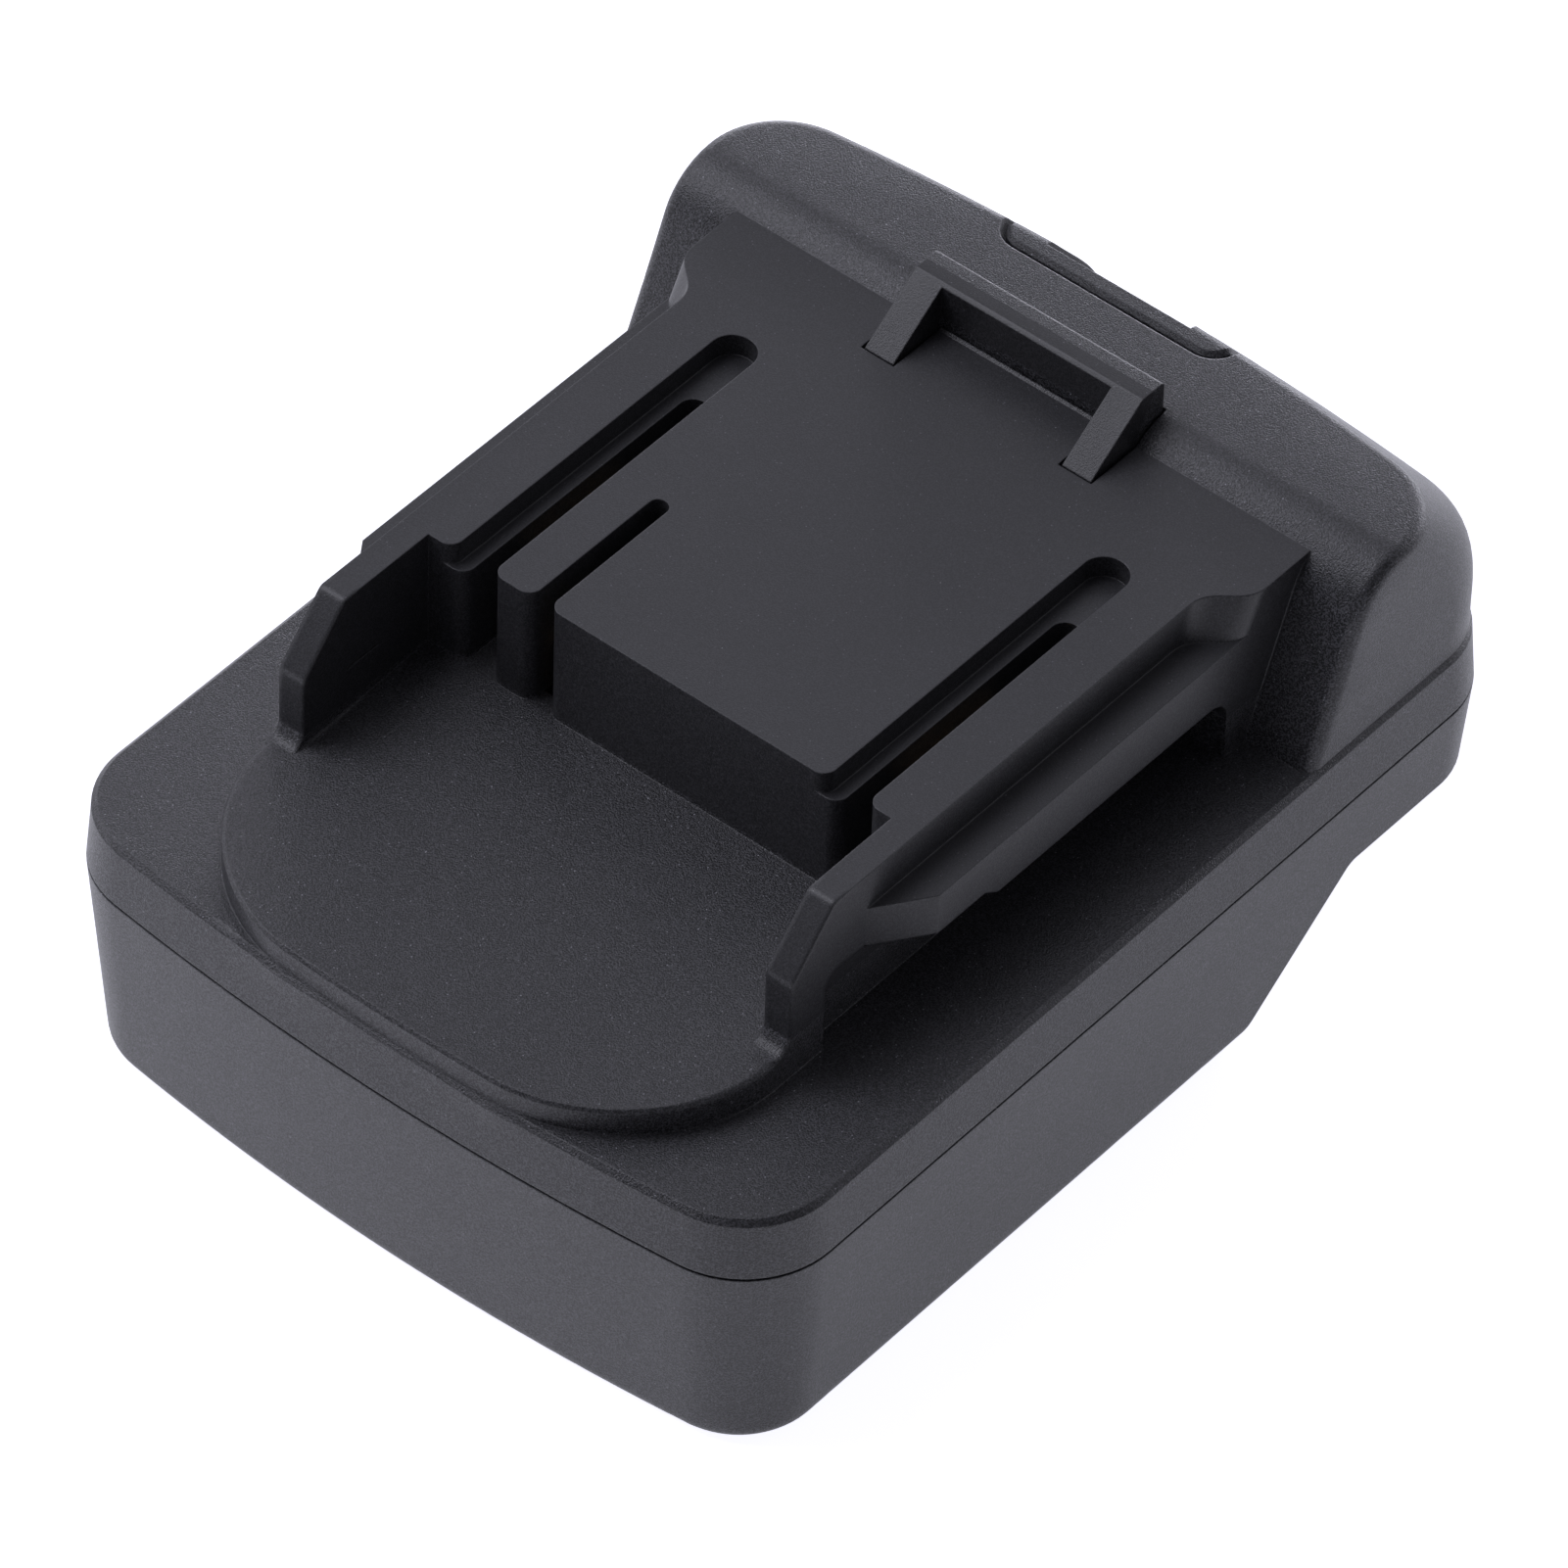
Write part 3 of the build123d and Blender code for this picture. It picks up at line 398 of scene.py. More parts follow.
class GeometryBench(NodeBench):
    """Builds one Geometry Nodes tree with named inputs and bakes it to a plain mesh."""

    def __init__(self, name: str, inputs: Mapping[str, str]) -> None:
        """Start an empty tree.

        Args:
            name: Name of the tree.
            inputs: Socket type of each named input.
        """
        self.group = bpy.data.node_groups.new(name, "GeometryNodeTree")
        super().__init__(self.group)
        face = self.group.interface
        face.new_socket(name="Geometry", in_out="INPUT", socket_type="NodeSocketGeometry")
        self.identifiers = {
            label: face.new_socket(name=label, in_out="INPUT", socket_type=kind).identifier
            for label, kind in inputs.items()
        }
        face.new_socket(name="Geometry", in_out="OUTPUT", socket_type="NodeSocketGeometry")
        self.given = self.node("NodeGroupInput", {}, {})

    def close(self, shape: Wire) -> None:
        """End the tree with Realize Instances and Set Material.

        Args:
            shape: Wire of the finished geometry.
        """
        plain = self.node("GeometryNodeRealizeInstances", {}, {"Geometry": shape})["Geometry"]
        sockets = {"Geometry": plain, "Material": self.given["Finish"]}
        dressed = self.node("GeometryNodeSetMaterial", {}, sockets)["Geometry"]
        output = self.tree.nodes.new("NodeGroupOutput")
        self.tree.links.new(dressed.socket, output.inputs["Geometry"])

    def bake(self, name: str, values: Mapping[str, Any]) -> bpy.types.Mesh:
        """Evaluate the tree once and return its mesh.

        Args:
            name: Name of the mesh.
            values: Value of each named input.

        Returns:
            The plain mesh.
        """
        bare = bpy.data.meshes.new(f"{name}_seed")
        carrier = bpy.data.objects.new(f"{name}_seed", bare)
        bpy.context.scene.collection.objects.link(carrier)
        modifier = carrier.modifiers.new(self.group.name, "NODES")
        modifier.node_group = self.group
        for label, value in values.items():
            modifier[self.identifiers[label]] = value
        evaluated = carrier.evaluated_get(bpy.context.evaluated_depsgraph_get())
        mesh = bpy.data.meshes.new_from_object(evaluated)
        mesh.name = name
        carrier.modifiers.remove(modifier)
        bpy.data.objects.remove(carrier)
        return mesh


def grey(value: float, tint: float = 0.0) -> tuple[float, float, float, float]:
    """Neutral colour with a little blue.

    Args:
        value: Linear brightness.
        tint: Share that blue is raised by.

    Returns:
        Colour with full alpha.
    """
    return (value, value, value * (1.0 + tint), 1.0)


class Texture(Enum):
    """Mould textures that the plastic pieces come out of the tool with."""

    SPARK_ERODED = "spark eroded"
    POLISHED = "polished"


@dataclass(frozen=True)
class SmoothInsert:
    """Zone of the rails, block and plate, which a smooth insert of the mould makes."""

    floor: float = 33.3 * MM
    half_width: float = 32.3 * MM
    rear: float = 24.6 * MM
    rear_lean: float = 0.462
    fade: float = 0.08 * MM


@dataclass(frozen=True)
class WingNoses:
    """Zone of the front ends of the two wings."""

    inner: float = 25.0 * MM
    rear: float = -27.0 * MM
    foot: float = 30.2 * MM
    fade: float = 0.5 * MM


SMOOTH_INSERT = SmoothInsert()
WING_NOSES = WingNoses()


@dataclass(frozen=True)
class Spots:
    """Small round spots, scattered at random."""

    cell: float
    radius: float
    core: float
    pick: tuple[float, float]
    shade: float

    def mask(self, bench: MaterialBench) -> Wire:
        """Mask of the spots.

        Args:
            bench: Bench of the material.

        Returns:
            Wire that is 1 in the middle of a spot and 0 between spots.
        """
        pattern = bench.cells(self.cell)
        chosen = bench.axes(pattern["Color"])[0].ramp(*self.pick)
        distance = pattern["Distance"] * self.cell
        return distance.ramp(self.radius * self.core, self.radius, 1.0, 0.0) * chosen


@dataclass(frozen=True)
class MouldedPlastic:
    """Black injection-moulded plastic with grain, soft edges, a little dust, and painted glints
    and painted grain shading in its colour.
    """

    name: str
    texture: Texture = Texture.SPARK_ERODED
    shade: float = 0.030
    dark_shade: float = 0.86
    light_shade: float = 1.12
    tint: float = 0.10
    roughness: float = 0.32
    ior: float = 1.52
    flow_cell: float = 14.0 * MM
    patch_cell: float = 3.0 * MM
    grain: float = 0.13 * MM
    grain_depth: float = 0.028 * MM
    # Painted grain shading: crests painted lighter as if lit and pits painted darker as if shaded,
    # stronger on walls.
    painted_grain_contrast: float = 1.3
    painted_wall_contrast: float = 1.6
    painted_crest_highlight: float = 4.0
    painted_pit_shade: float = 0.25
    pit_gain: float = 2.0
    fine_share: float = 0.30
    fine_roughness: float = 0.38
    edge_radius: float = 0.20 * MM
    nose_radius: float = 0.60 * MM
    edge_lift: float = 0.045
    edge_wear: float = 0.5
    wear_cell: float = 1.2 * MM
    # Painted glints: tiny light dots in the colour stand in for highlights on bright facets of the
    # grain.
    painted_glints: Spots = Spots(0.30 * MM, 0.085 * MM, 0.5, (0.88, 1.0), 0.36)
    dust: Spots = Spots(2.4 * MM, 0.07 * MM, 0.6, (0.35, 0.40), 0.30)
    dust_cover: float = 0.8

    def toned(self, factor: float) -> tuple[float, float, float, float]:
        """Colour of this plastic with its shade multiplied."""
        return grey(self.shade * factor, self.tint)

    def grain_height(self, bench: MaterialBench) -> Wire:
        """Height of the mould texture from 0 to 1."""
        fine = bench.noise(self.grain, 2.0, 0.6).ramp(0.34, 0.66)
        if self.texture is Texture.POLISHED:
            return fine
        pits = bench.cells(self.grain * 1.5)["Distance"].ramp(0.15, 0.75)
        return 0.5 * pits + 0.5 * fine

    def coarse_area(self, bench: MaterialBench) -> Union[Wire, float]:
        """Mask of the eroded faces: all but the rails, block and plate, which are smooth."""
        if self.texture is Texture.POLISHED:
            return 0.0
        insert = SMOOTH_INSERT
        across, along, up = bench.axes(bench.place())
        above = up.past(insert.floor, insert.fade)
        within = across.size().before(insert.half_width, insert.fade)
        lean = (up - insert.floor) * insert.rear_lean
        ahead = (along - lean).before(insert.rear, insert.fade)
        return 1.0 - above * within * ahead

    def nose_area(self, bench: MaterialBench) -> Wire:
        """Mask of the wing noses, whose edges are rounder than the rest."""
        noses = WING_NOSES
        across, along, up = bench.axes(bench.place())
        outside = across.size().past(noses.inner, noses.fade)
        ahead = along.before(noses.rear, noses.fade)
        return outside * ahead * up.past(noses.foot, noses.fade)

    def edges(self, bench: MaterialBench) -> tuple[Wire, Wire]:
        """Normal with rounded edges, and a mask of those edges."""
        rounded, edge = bench.rounded_normal(self.edge_radius)
        if self.texture is Texture.SPARK_ERODED:
            softer, _ = bench.rounded_normal(self.nose_radius)
            rounded = bench.blend_normals(self.nose_area(bench), rounded, softer)
        return rounded, edge

    def painted_grain_shading(self, bench: MaterialBench, body: Wire, painted_relief: Wire) -> Wire:
        """Paint highlights on the crests of the grain and painted shade into its pits.

        Args:
            bench: Bench of the material.
            body: Colour before.
            painted_relief: Height of the grain about zero, times its contrast.

        Returns:
            Wire of the speckled colour.
        """
        crest = painted_relief.most(0.0).least(1.0)
        pit = (painted_relief * -self.pit_gain).most(0.0).least(1.0)
        lifted = bench.blend(crest, body, self.toned(self.painted_crest_highlight))
        return bench.blend(pit, lifted, self.toned(self.painted_pit_shade))

    def material(self) -> bpy.types.Material:
        """Build the finish.

        Returns:
            The material.
        """
        bench = MaterialBench(self.name)
        rounded, edge = self.edges(bench)
        flow = bench.noise(self.flow_cell, 3.0, 0.55)
        patches = bench.noise(self.patch_cell, 2.0, 0.5)
        coarse = self.coarse_area(bench)
        strength = self.fine_share + coarse * (1.0 - self.fine_share)
        height = self.grain_height(bench)
        upward = bench.upward()
        # Painted grain shading, made stronger on walls than on faces that look up.
        contrast = self.painted_grain_contrast * (1.0 + (1.0 - upward) * self.painted_wall_contrast)
        dark, light = self.toned(self.dark_shade), self.toned(self.light_shade)
        body = bench.blend(flow * 0.6 + patches * 0.4, dark, light)
        body = self.painted_grain_shading(bench, body, (height - 0.5) * contrast * strength)
        worn = edge * bench.noise(self.wear_cell, 2.0, 0.6).ramp(0.30, 0.62)
        bare = grey(self.shade + self.edge_lift, self.tint)
        body = bench.blend(worn * self.edge_wear, body, bare)
        # Painted glints: light dots painted into the colour where highlights would sparkle on the
        # grain.
        painted_glint = self.painted_glints.mask(bench) * strength
        body = bench.blend(painted_glint, body, grey(self.painted_glints.shade, self.tint))
        dust = self.dust.mask(bench) * upward
        body = bench.blend(dust * self.dust_cover, body, grey(self.dust.shade))
        base = self.fine_roughness + coarse * (self.roughness - self.fine_roughness)
        clouds = (flow - 0.5) * 0.08 + (patches - 0.5) * 0.05
        return bench.finish(
            {
                "Base Color": body,
                "Roughness": base + clouds - edge * 0.05 + dust * 0.3,
                "Normal": bench.bump(height * strength, self.grain_depth, rounded),
                "Metallic": 0.0,
                "IOR": self.ior,
                "Specular IOR Level": 0.5,
            }
        )


@dataclass(frozen=True)
class PlatedMetal:
    """Bright plated or bare metal with drawing marks along one axis."""

    name: str
    colour: Colour
    roughness: float = 0.28
    mark: float = 0.05 * MM
    mark_depth: float = 0.004 * MM
    mark_stretch: tuple[float, float, float] = (1.0, 0.04, 1.0)
    tarnish_cell: float = 2.5 * MM
    dull_shade: float = 0.62
    edge_radius: float = 0.06 * MM

    def material(self) -> bpy.types.Material:
        """Build the finish.

        Returns:
            The material.
        """
        bench = MaterialBench(self.name)
        rounded, edge = bench.rounded_normal(self.edge_radius)
        sockets = {"Vector": bench.place(), "Scale": self.mark_stretch}
        stretched = bench.node("ShaderNodeMapping", {"vector_type": "POINT"}, sockets)["Vector"]
        marks = bench.noise(self.mark, 2.0, 0.6, stretched)
        tarnish = bench.noise(self.tarnish_cell, 3.0, 0.6)
        colour = (*self.colour, 1.0)
        dull = (*(self.dull_shade * part for part in self.colour), 1.0)
        body = bench.blend(tarnish.ramp(0.45, 0.75) * 0.6, colour, dull)
        return bench.finish(
            {
                "Base Color": body,
                "Roughness": self.roughness + marks * 0.14 + tarnish * 0.10 - edge * 0.08,
                "Normal": bench.bump(marks, self.mark_depth, rounded),
                "Metallic": 1.0,
            }
        )


@dataclass(frozen=True)
class WireInsulation:
    """Soft extruded insulation of a lead."""

    name: str
    colour: Colour
    wave: float = 0.8 * MM
    wave_depth: float = 0.01 * MM
    dark_shade: float = 0.7

    def material(self) -> bpy.types.Material:
        """Build the finish.

        Returns:
            The material.
        """
        bench = MaterialBench(self.name)
        waves = bench.noise(self.wave, 2.0, 0.5)
        colour = (*self.colour, 1.0)
        dark = (*(self.dark_shade * part for part in self.colour), 1.0)
        return bench.finish(
            {
                "Base Color": bench.blend(waves, dark, colour),
                "Roughness": 0.42 + waves * 0.12,
                "Normal": bench.bump(waves, self.wave_depth, bench.surface_normal()),
            }
        )


def mesh_object(name: str, mesh: bpy.types.Mesh, material: bpy.types.Material) -> bpy.types.Object:
    """Link a mesh as an object with one material.

    Args:
        name: Name of the piece.
        mesh: Its mesh, already in place.
        material: Its finish.

    Returns:
        The new object.
    """
    mesh.materials.clear()
    mesh.materials.append(material)
    piece = bpy.data.objects.new(name, mesh)
    bpy.context.scene.collection.objects.link(piece)
    return piece


@dataclass(frozen=True)
class PlateFront:
    """Front of the D-shaped plate, set back so that the deck's edge runs past it."""

    half_width: float = 28.4 * MM
    corner_radius: float = 17.2 * MM
    setback: float = 0.40 * MM
    bow_diameter: float = 564.2 * MM
    band_front: float = -0.05 * MM
    front_station: float = -53.0 * MM
    deck: float = 28.7 * MM
    rim_height: float = 2.5 * MM
    rise: float = 0.0486
    round_drop: float = 0.30 * MM
    round_width: float = 0.30 * MM
    edge_chamfer: float = 0.5 * MM
    clearance: float = 0.015 * MM
    margin: float = 0.4 * MM
    least_slope: float = 0.02
    last_turn: float = math.radians(88.5)
    corner_steps: int = 40
    straight_steps: int = 12

    def band_edge(self, across: float) -> float:
        """Station of the band's upper edge at a distance from the middle."""
        return self.band_front + across * across / self.bow_diameter

    def band_height(self, across: float, along: float) -> float:
        """Height of the chamfered band over the deck at one of its points."""
        fall = along - self.band_edge(across) - self.edge_chamfer
        return min(0.0, max(-self.edge_chamfer, fall))

    def outline(self) -> list[Point]:
        """Points of the new front.

        Returns:
            Place across, station, and turn of the outward normal from the front.
        """
        straight = self.half_width - self.corner_radius
        points = []
        for step in range(self.straight_steps):
            across = straight * step / self.straight_steps
            points.append((across, self.setback + self.band_edge(across), 0.0))
        depth = self.corner_radius - self.setback - self.band_front
        for step in range(self.corner_steps + 1):
            turn = self.last_turn * step / self.corner_steps
            across = straight + self.corner_radius * math.sin(turn)
            bow = across * across / self.bow_diameter * math.cos(turn)
            points.append((across, self.corner_radius - depth * math.cos(turn) + bow, turn))
        return [(-across, along, -turn) for across, along, turn in reversed(points[1:])] + points

    def section(self, across: float, along: float, turn: float) -> list[Point]:
        """Outline of the cutter at one point of the new front.

        Args:
            across: Place across of that point.
            along: Its station from the front.
            turn: Turn of its outward normal.

        Returns:
            The corners, from inside the plate outwards and back.
        """
        out = (math.sin(turn), -math.cos(turn))
        slope = max(math.cos(turn), self.least_slope)
        reach = (self.setback + self.margin) * math.cos(turn) + self.margin
        gap = max(0.0, along - self.band_edge(across) - self.edge_chamfer) / slope
        top = self.rim_height + self.rise * along
        inside, sky = -self.round_width * 1.5, self.rim_height * 2.0
        steps = [
            (inside, top + self.round_drop * 0.5 + self.clearance),
            (0.0, top - self.round_drop),
            (0.0, self.clearance),
            (min(gap, reach * 0.6), None),
            (min(gap + self.edge_chamfer / slope, reach * 0.8), None),
            (reach, None),
            (reach, sky),
            (inside, sky),
        ]
        corners = []
        for shift, height in steps:
            x, station = across + out[0] * shift, along + out[1] * shift
            if height is None:
                height = self.band_height(x, station) + self.clearance
            corners.append((x, self.front_station + station, self.deck + height))
        return corners

    def cutter(self) -> bpy.types.Object:
        """Closed solid of all that is taken off the plate's front.

        Returns:
            The cutter, which is not part of the adapter.
        """
        sections = [self.section(*point) for point in self.outline()]
        size = len(sections[0])
        points = [corner for section in sections for corner in section]
        faces = []
        for number in range(len(sections) - 1):
            low, high = number * size, (number + 1) * size
            for side in range(size):
                after = (side + 1) % size
                faces.append((low + side, low + after, high + after, high + side))
        faces.append(tuple(reversed(range(size))))
        faces.append(tuple((len(sections) - 1) * size + side for side in range(size)))
        mesh = bpy.data.meshes.new("plate_front_cutter")
        mesh.from_pydata(points, [], faces)
        outward(mesh, 0.0)
        cutter = bpy.data.objects.new("plate_front_cutter", mesh)
        bpy.context.scene.collection.objects.link(cutter)
        return cutter

    def trim(self, shell: bpy.types.Object) -> None:
        """Take the cutter off a shell's mesh.

        Args:
            shell: The upper shell, whose mesh is changed.
        """
        cutter = self.cutter()
        modifier = shell.modifiers.new("plate_front", "BOOLEAN")
        modifier.operation = "DIFFERENCE"
        modifier.solver = "EXACT"
        modifier.object = cutter
        graph = bpy.context.evaluated_depsgraph_get()
        trimmed = bpy.data.meshes.new_from_object(shell.evaluated_get(graph))
        shell.modifiers.remove(modifier)
        old = shell.data
        shell.data = trimmed
        trimmed.name = old.name
        bpy.data.objects.remove(cutter)


@dataclass
class MouldedShells:
    """Plastic pieces, re-made from their solids with smooth curved faces."""

    finishes: dict[str, bpy.types.Material]
    smooth_angle: float = math.radians(28.0)

    def build(self) -> None:
        """Weld a copy of each solid's mesh, smooth its curves and put it in its node's place."""
        for node, material in self.finishes.items():
            mesh = bpy.data.meshes.new(f"{node}_shell")
            smoothed(frame["nodes"][node].data, mesh, self.smooth_angle, False)
            piece = mesh_object(f"{node}_shell", mesh, material)
            if node == "upper_housing":
                PlateFront().trim(piece)
                outward(piece.data, self.smooth_angle)
            stand_for(piece, node)


@dataclass(frozen=True)
class TappingScrews:
    """Two self-tapping screws of one node, heads down, with a lobed recess and a thread."""

    node: str
    across: float
    along: float
    seat: float
    length: float
    head_radius: float = 2.5 * MM
    head_height: float = 2.0 * MM
    core_radius: float = 1.02 * MM
    thread_depth: float = 0.43 * MM
    thread_power: float = 1.4
    pitch: float = 1.12 * MM
    tip_length: float = 1.6 * MM
    recess_radius: float = 1.25 * MM
    recess_depth: float = 1.1 * MM
    recess_floor: float = 0.88
    recess_rings: int = 3
    crown: tuple[tuple[float, float], ...] = ((0.76, 1.0), (0.93, 0.90), (1.0, 0.68), (1.0, 0.0))
    lobes: int = 6
    lobe_share: float = 0.13
    seam: float = 0.001 * MM
    smooth_angle: float = math.radians(40.0)
    columns: int = 37
    rows_per_turn: int = 6

    def head_profile(self, bench: GeometryBench) -> tuple[list[Any], list[Any]]:
        """Radius and height of each ring of the head, from the recess floor to the shank."""
        radius, height = bench.given["Head Radius"], bench.given["Head Height"]
        recess, depth = bench.given["Recess Radius"], bench.given["Recess Depth"]
        top = 0.0 - height
        radii = [0.0, recess * self.recess_floor, recess]
        heights = [top + depth, top + depth, top]
        for width, drop in self.crown:
            radii.append(radius * width)
            heights.append(top * drop)
        return radii + [bench.given["Core Radius"]], heights + [0.0]

    def pick(self, bench: GeometryBench, row: Wire, values: Sequence[Any]) -> Wire:
        """Value of one ring, chosen by its number."""
        switch = bench.tree.nodes.new("GeometryNodeIndexSwitch")
        switch.data_type = "FLOAT"
        while len(switch.index_switch_items) < len(values):
            switch.index_switch_items.new()
        bench.tree.links.new(row.socket, switch.inputs["Index"])
        for number, value in enumerate(values):
            socket = switch.inputs[number + 1]
            if isinstance(value, Wire):
                bench.tree.links.new(value.socket, socket)
            else:
                socket.default_value = value
        return Wire(bench, switch.outputs[0])

    def measures(self) -> dict[str, float]:
        """Size of each named length of the tree."""
        return {
            "Head Radius": self.head_radius,
            "Head Height": self.head_height,
            "Core Radius": self.core_radius,
            "Thread Depth": self.thread_depth,
            "Pitch": self.pitch,
            "Length": self.length,
            "Tip Length": self.tip_length,
            "Recess Radius": self.recess_radius,
            "Recess Depth": self.recess_depth,
            "Across": self.across,
        }

    def tree(self) -> GeometryBench:
        """Build the tree: one ring-by-ring surface, set on two points.

        Returns:
            The bench that holds the tree.
        """
        inputs = {label: "NodeSocketFloat" for label in self.measures()}
        inputs |= {"Rows": "NodeSocketInt", "Place": "NodeSocketVector"}
        bench = GeometryBench(f"{self.node}_tree", inputs | {"Finish": "NodeSocketMaterial"})
        given = bench.given
        sockets = {"Vertices X": self.columns, "Vertices Y": given["Rows"]}
        grid = bench.node("GeometryNodeMeshGrid", {}, sockets)["Mesh"]
        index = bench.node("GeometryNodeInputIndex", {}, {})["Index"]
        column = (index / given["Rows"]).whole()
        row = index - column * given["Rows"]
        turn = column / (self.columns - 1)
        radii, heights = self.head_profile(bench)
        rings = len(radii)
        on_shank = row.above(rings - 0.5)
        on_head = 1.0 - on_shank
        in_recess = 1.0 - row.above(self.recess_rings - 0.5)
        share = (row - (rings - 1)) / (given["Rows"] - rings)
        rise = share * given["Length"]
        ridge = (rise / given["Pitch"] - turn).fraction()
        crest = (1.0 - (ridge - 0.5).size() * 2.0) ** self.thread_power
        taper = ((given["Length"] - rise) / given["Tip Length"]).least(1.0)
        shank_radius = (given["Core Radius"] + crest * given["Thread Depth"]) * taper
        wave = (turn * (2.0 * math.pi * self.lobes)).cosine() * self.lobe_share
        head_radius = self.pick(bench, row, radii) * (1.0 + wave * in_recess)
        radius = head_radius * on_head + shank_radius * on_shank
        height = self.pick(bench, row, heights) * on_head + rise * on_shank
        angle = turn * (2.0 * math.pi)
        ring = {"X": angle.cosine() * radius, "Y": angle.sine() * radius, "Z": height}
        sockets = {"Geometry": grid, "Position": bench.vector(ring)}
        bent = bench.node("GeometryNodeSetPosition", {}, sockets)["Geometry"]
        sockets = {"Geometry": bent, "Distance": self.seam}
        closed = bench.node("GeometryNodeMergeByDistance", {}, sockets)["Geometry"]
        first = bench.shifted(given["Place"], bench.vector({"X": 0.0 - given["Across"]}))
        step = bench.vector({"X": given["Across"] * 2.0})
        sockets = {"Count": 2, "Start Location": first, "Offset": step}
        pair = bench.node("GeometryNodeMeshLine", {}, sockets)["Mesh"]
        sockets = {"Points": pair, "Instance": closed}
        bench.close(bench.node("GeometryNodeInstanceOnPoints", {}, sockets)["Instances"])
        return bench

    def build(self, finish: bpy.types.Material) -> bpy.types.Object:
        """Make the pair and put it in its node's place.

        Args:
            finish: Finish of the screws.

        Returns:
            The finished piece.
        """
        rings = self.recess_rings + len(self.crown) + 1
        values = {
            "Rows": rings + int(self.length / self.pitch * self.rows_per_turn),
            "Place": (0.0, self.along, self.seat),
            "Finish": finish,
        }
        name = f"{self.node}_threaded"
        mesh = outward(self.tree().bake(name, self.measures() | values), self.smooth_angle)
        return stand_for(mesh_object(name, mesh, finish), self.node)


@dataclass(frozen=True)
class LatchSpring:
    """Round-wire spring with closed end coils."""

    node: str
    wire_radius: float = 0.3 * MM
    turns: float = 5.4
    closed_turns: float = 0.7
    travel: float = 5.2 * MM
    smooth_angle: float = math.radians(60.0)
    steps_per_turn: int = 28
    wire_sides: int = 10

    def tree(self) -> GeometryBench:
        """Build the tree: a spiral whose end coils lie flat, swept with a round wire.

        Returns:
            The bench that holds the tree.
        """
        lengths = ("Coil Radius", "Wire Radius", "Turns", "Height", "Closed")
        inputs = {label: "NodeSocketFloat" for label in lengths}
        inputs |= {"Place": "NodeSocketVector", "Finish": "NodeSocketMaterial"}
        bench = GeometryBench(f"{self.node}_tree", inputs)
        given = bench.given
        sockets = {
            "Resolution": self.steps_per_turn,
            "Rotations": given["Turns"],
            "Start Radius": given["Coil Radius"],
            "End Radius": given["Coil Radius"],
            "Height": given["Height"],
        }
        spiral = bench.node("GeometryNodeCurveSpiral", {}, sockets)["Curve"]
        share = bench.node("GeometryNodeSplineParameter", {}, {})["Factor"]
        free_turns = given["Turns"] - given["Closed"] * 2.0
        rising = (share * given["Turns"] - given["Closed"]) / free_turns
        across, along, _ = bench.axes(bench.node("GeometryNodeInputPosition", {}, {})["Position"])
        lifted = {"X": across, "Y": along, "Z": rising.least(1.0).most(0.0) * given["Height"]}
        placed = bench.shifted(bench.vector(lifted), given["Place"])
        sockets = {"Geometry": spiral, "Position": placed}
        coil = bench.node("GeometryNodeSetPosition", {}, sockets)["Geometry"]
        sockets = {"Resolution": self.wire_sides, "Radius": given["Wire Radius"]}
        section = bench.node("GeometryNodeCurvePrimitiveCircle", {}, sockets)["Curve"]
        sockets = {"Curve": coil, "Profile Curve": section, "Fill Caps": True}
        bench.close(bench.node("GeometryNodeCurveToMesh", {}, sockets)["Mesh"])
        return bench

    def build(self, finish: bpy.types.Material) -> bpy.types.Object:
        """Make the spring between the ends that its solid has.

        Args:
            finish: Finish of the wire.

        Returns:
            The finished piece.
        """
        low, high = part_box(self.node)
        middle = (low + high) / 2
        values = {
            "Coil Radius": (high.x - low.x) / 2 - self.wire_radius,
            "Wire Radius": self.wire_radius,
            "Turns": self.turns,
            "Height": high.z - low.z - 2 * self.wire_radius,
            "Closed": self.closed_turns,
            "Place": (middle.x, middle.y, low.z + self.wire_radius),
            "Finish": finish,
        }
        name = f"{self.node}_coil"
        mesh = outward(self.tree().bake(name, values), self.smooth_angle)
        piece = stand_for(mesh_object(name, mesh, finish), self.node)
        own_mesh(piece)
        return piece


def smoothed(
    source: bpy.types.Mesh, target: bpy.types.Mesh, smooth_angle: float, turn_out: bool
) -> None:
    """Merge a mesh's doubles and smooth its curved faces.

    Args:
        source: The mesh that is read.
        target: The mesh that the result is written to.
        smooth_angle: Angle in radians past which an edge stays sharp.
        turn_out: Whether the faces are pointed outwards.
    """
    shape = bmesh.new()
    shape.from_mesh(source)
    bmesh.ops.remove_doubles(shape, verts=shape.verts, dist=WELD)
    bmesh.ops.dissolve_degenerate(shape, edges=shape.edges, dist=WELD)
    if turn_out:
        bmesh.ops.recalc_face_normals(shape, faces=shape.faces)
    for face in shape.faces:
        face.smooth = True
    for edge in shape.edges:
        if len(edge.link_faces) == 2:
            edge.smooth = edge.calc_face_angle(0.0) < smooth_angle
    shape.to_mesh(target)
    shape.free()


def outward(mesh: bpy.types.Mesh, smooth_angle: float) -> bpy.types.Mesh:
    """Smooth a closed mesh and point its faces outwards.

    Args:
        mesh: The mesh, which is changed.
        smooth_angle: Angle in radians past which an edge stays sharp.

    Returns:
        The same mesh.
    """
    smoothed(mesh, mesh, smooth_angle, True)
    return mesh


def stand_for(piece: bpy.types.Object, node: str) -> bpy.types.Object:
    """Put a piece in a node's place and on its body, and look up the node's material slot.

    Args:
        piece: The finished piece.
        node: The node that it stands for.

    Returns:
        The same piece.
    """
    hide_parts(node)
    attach(piece, node_body(node))
    node_slot(node)
    LOG.info("%s: %d faces", piece.name, len(piece.data.polygons))
    return piece


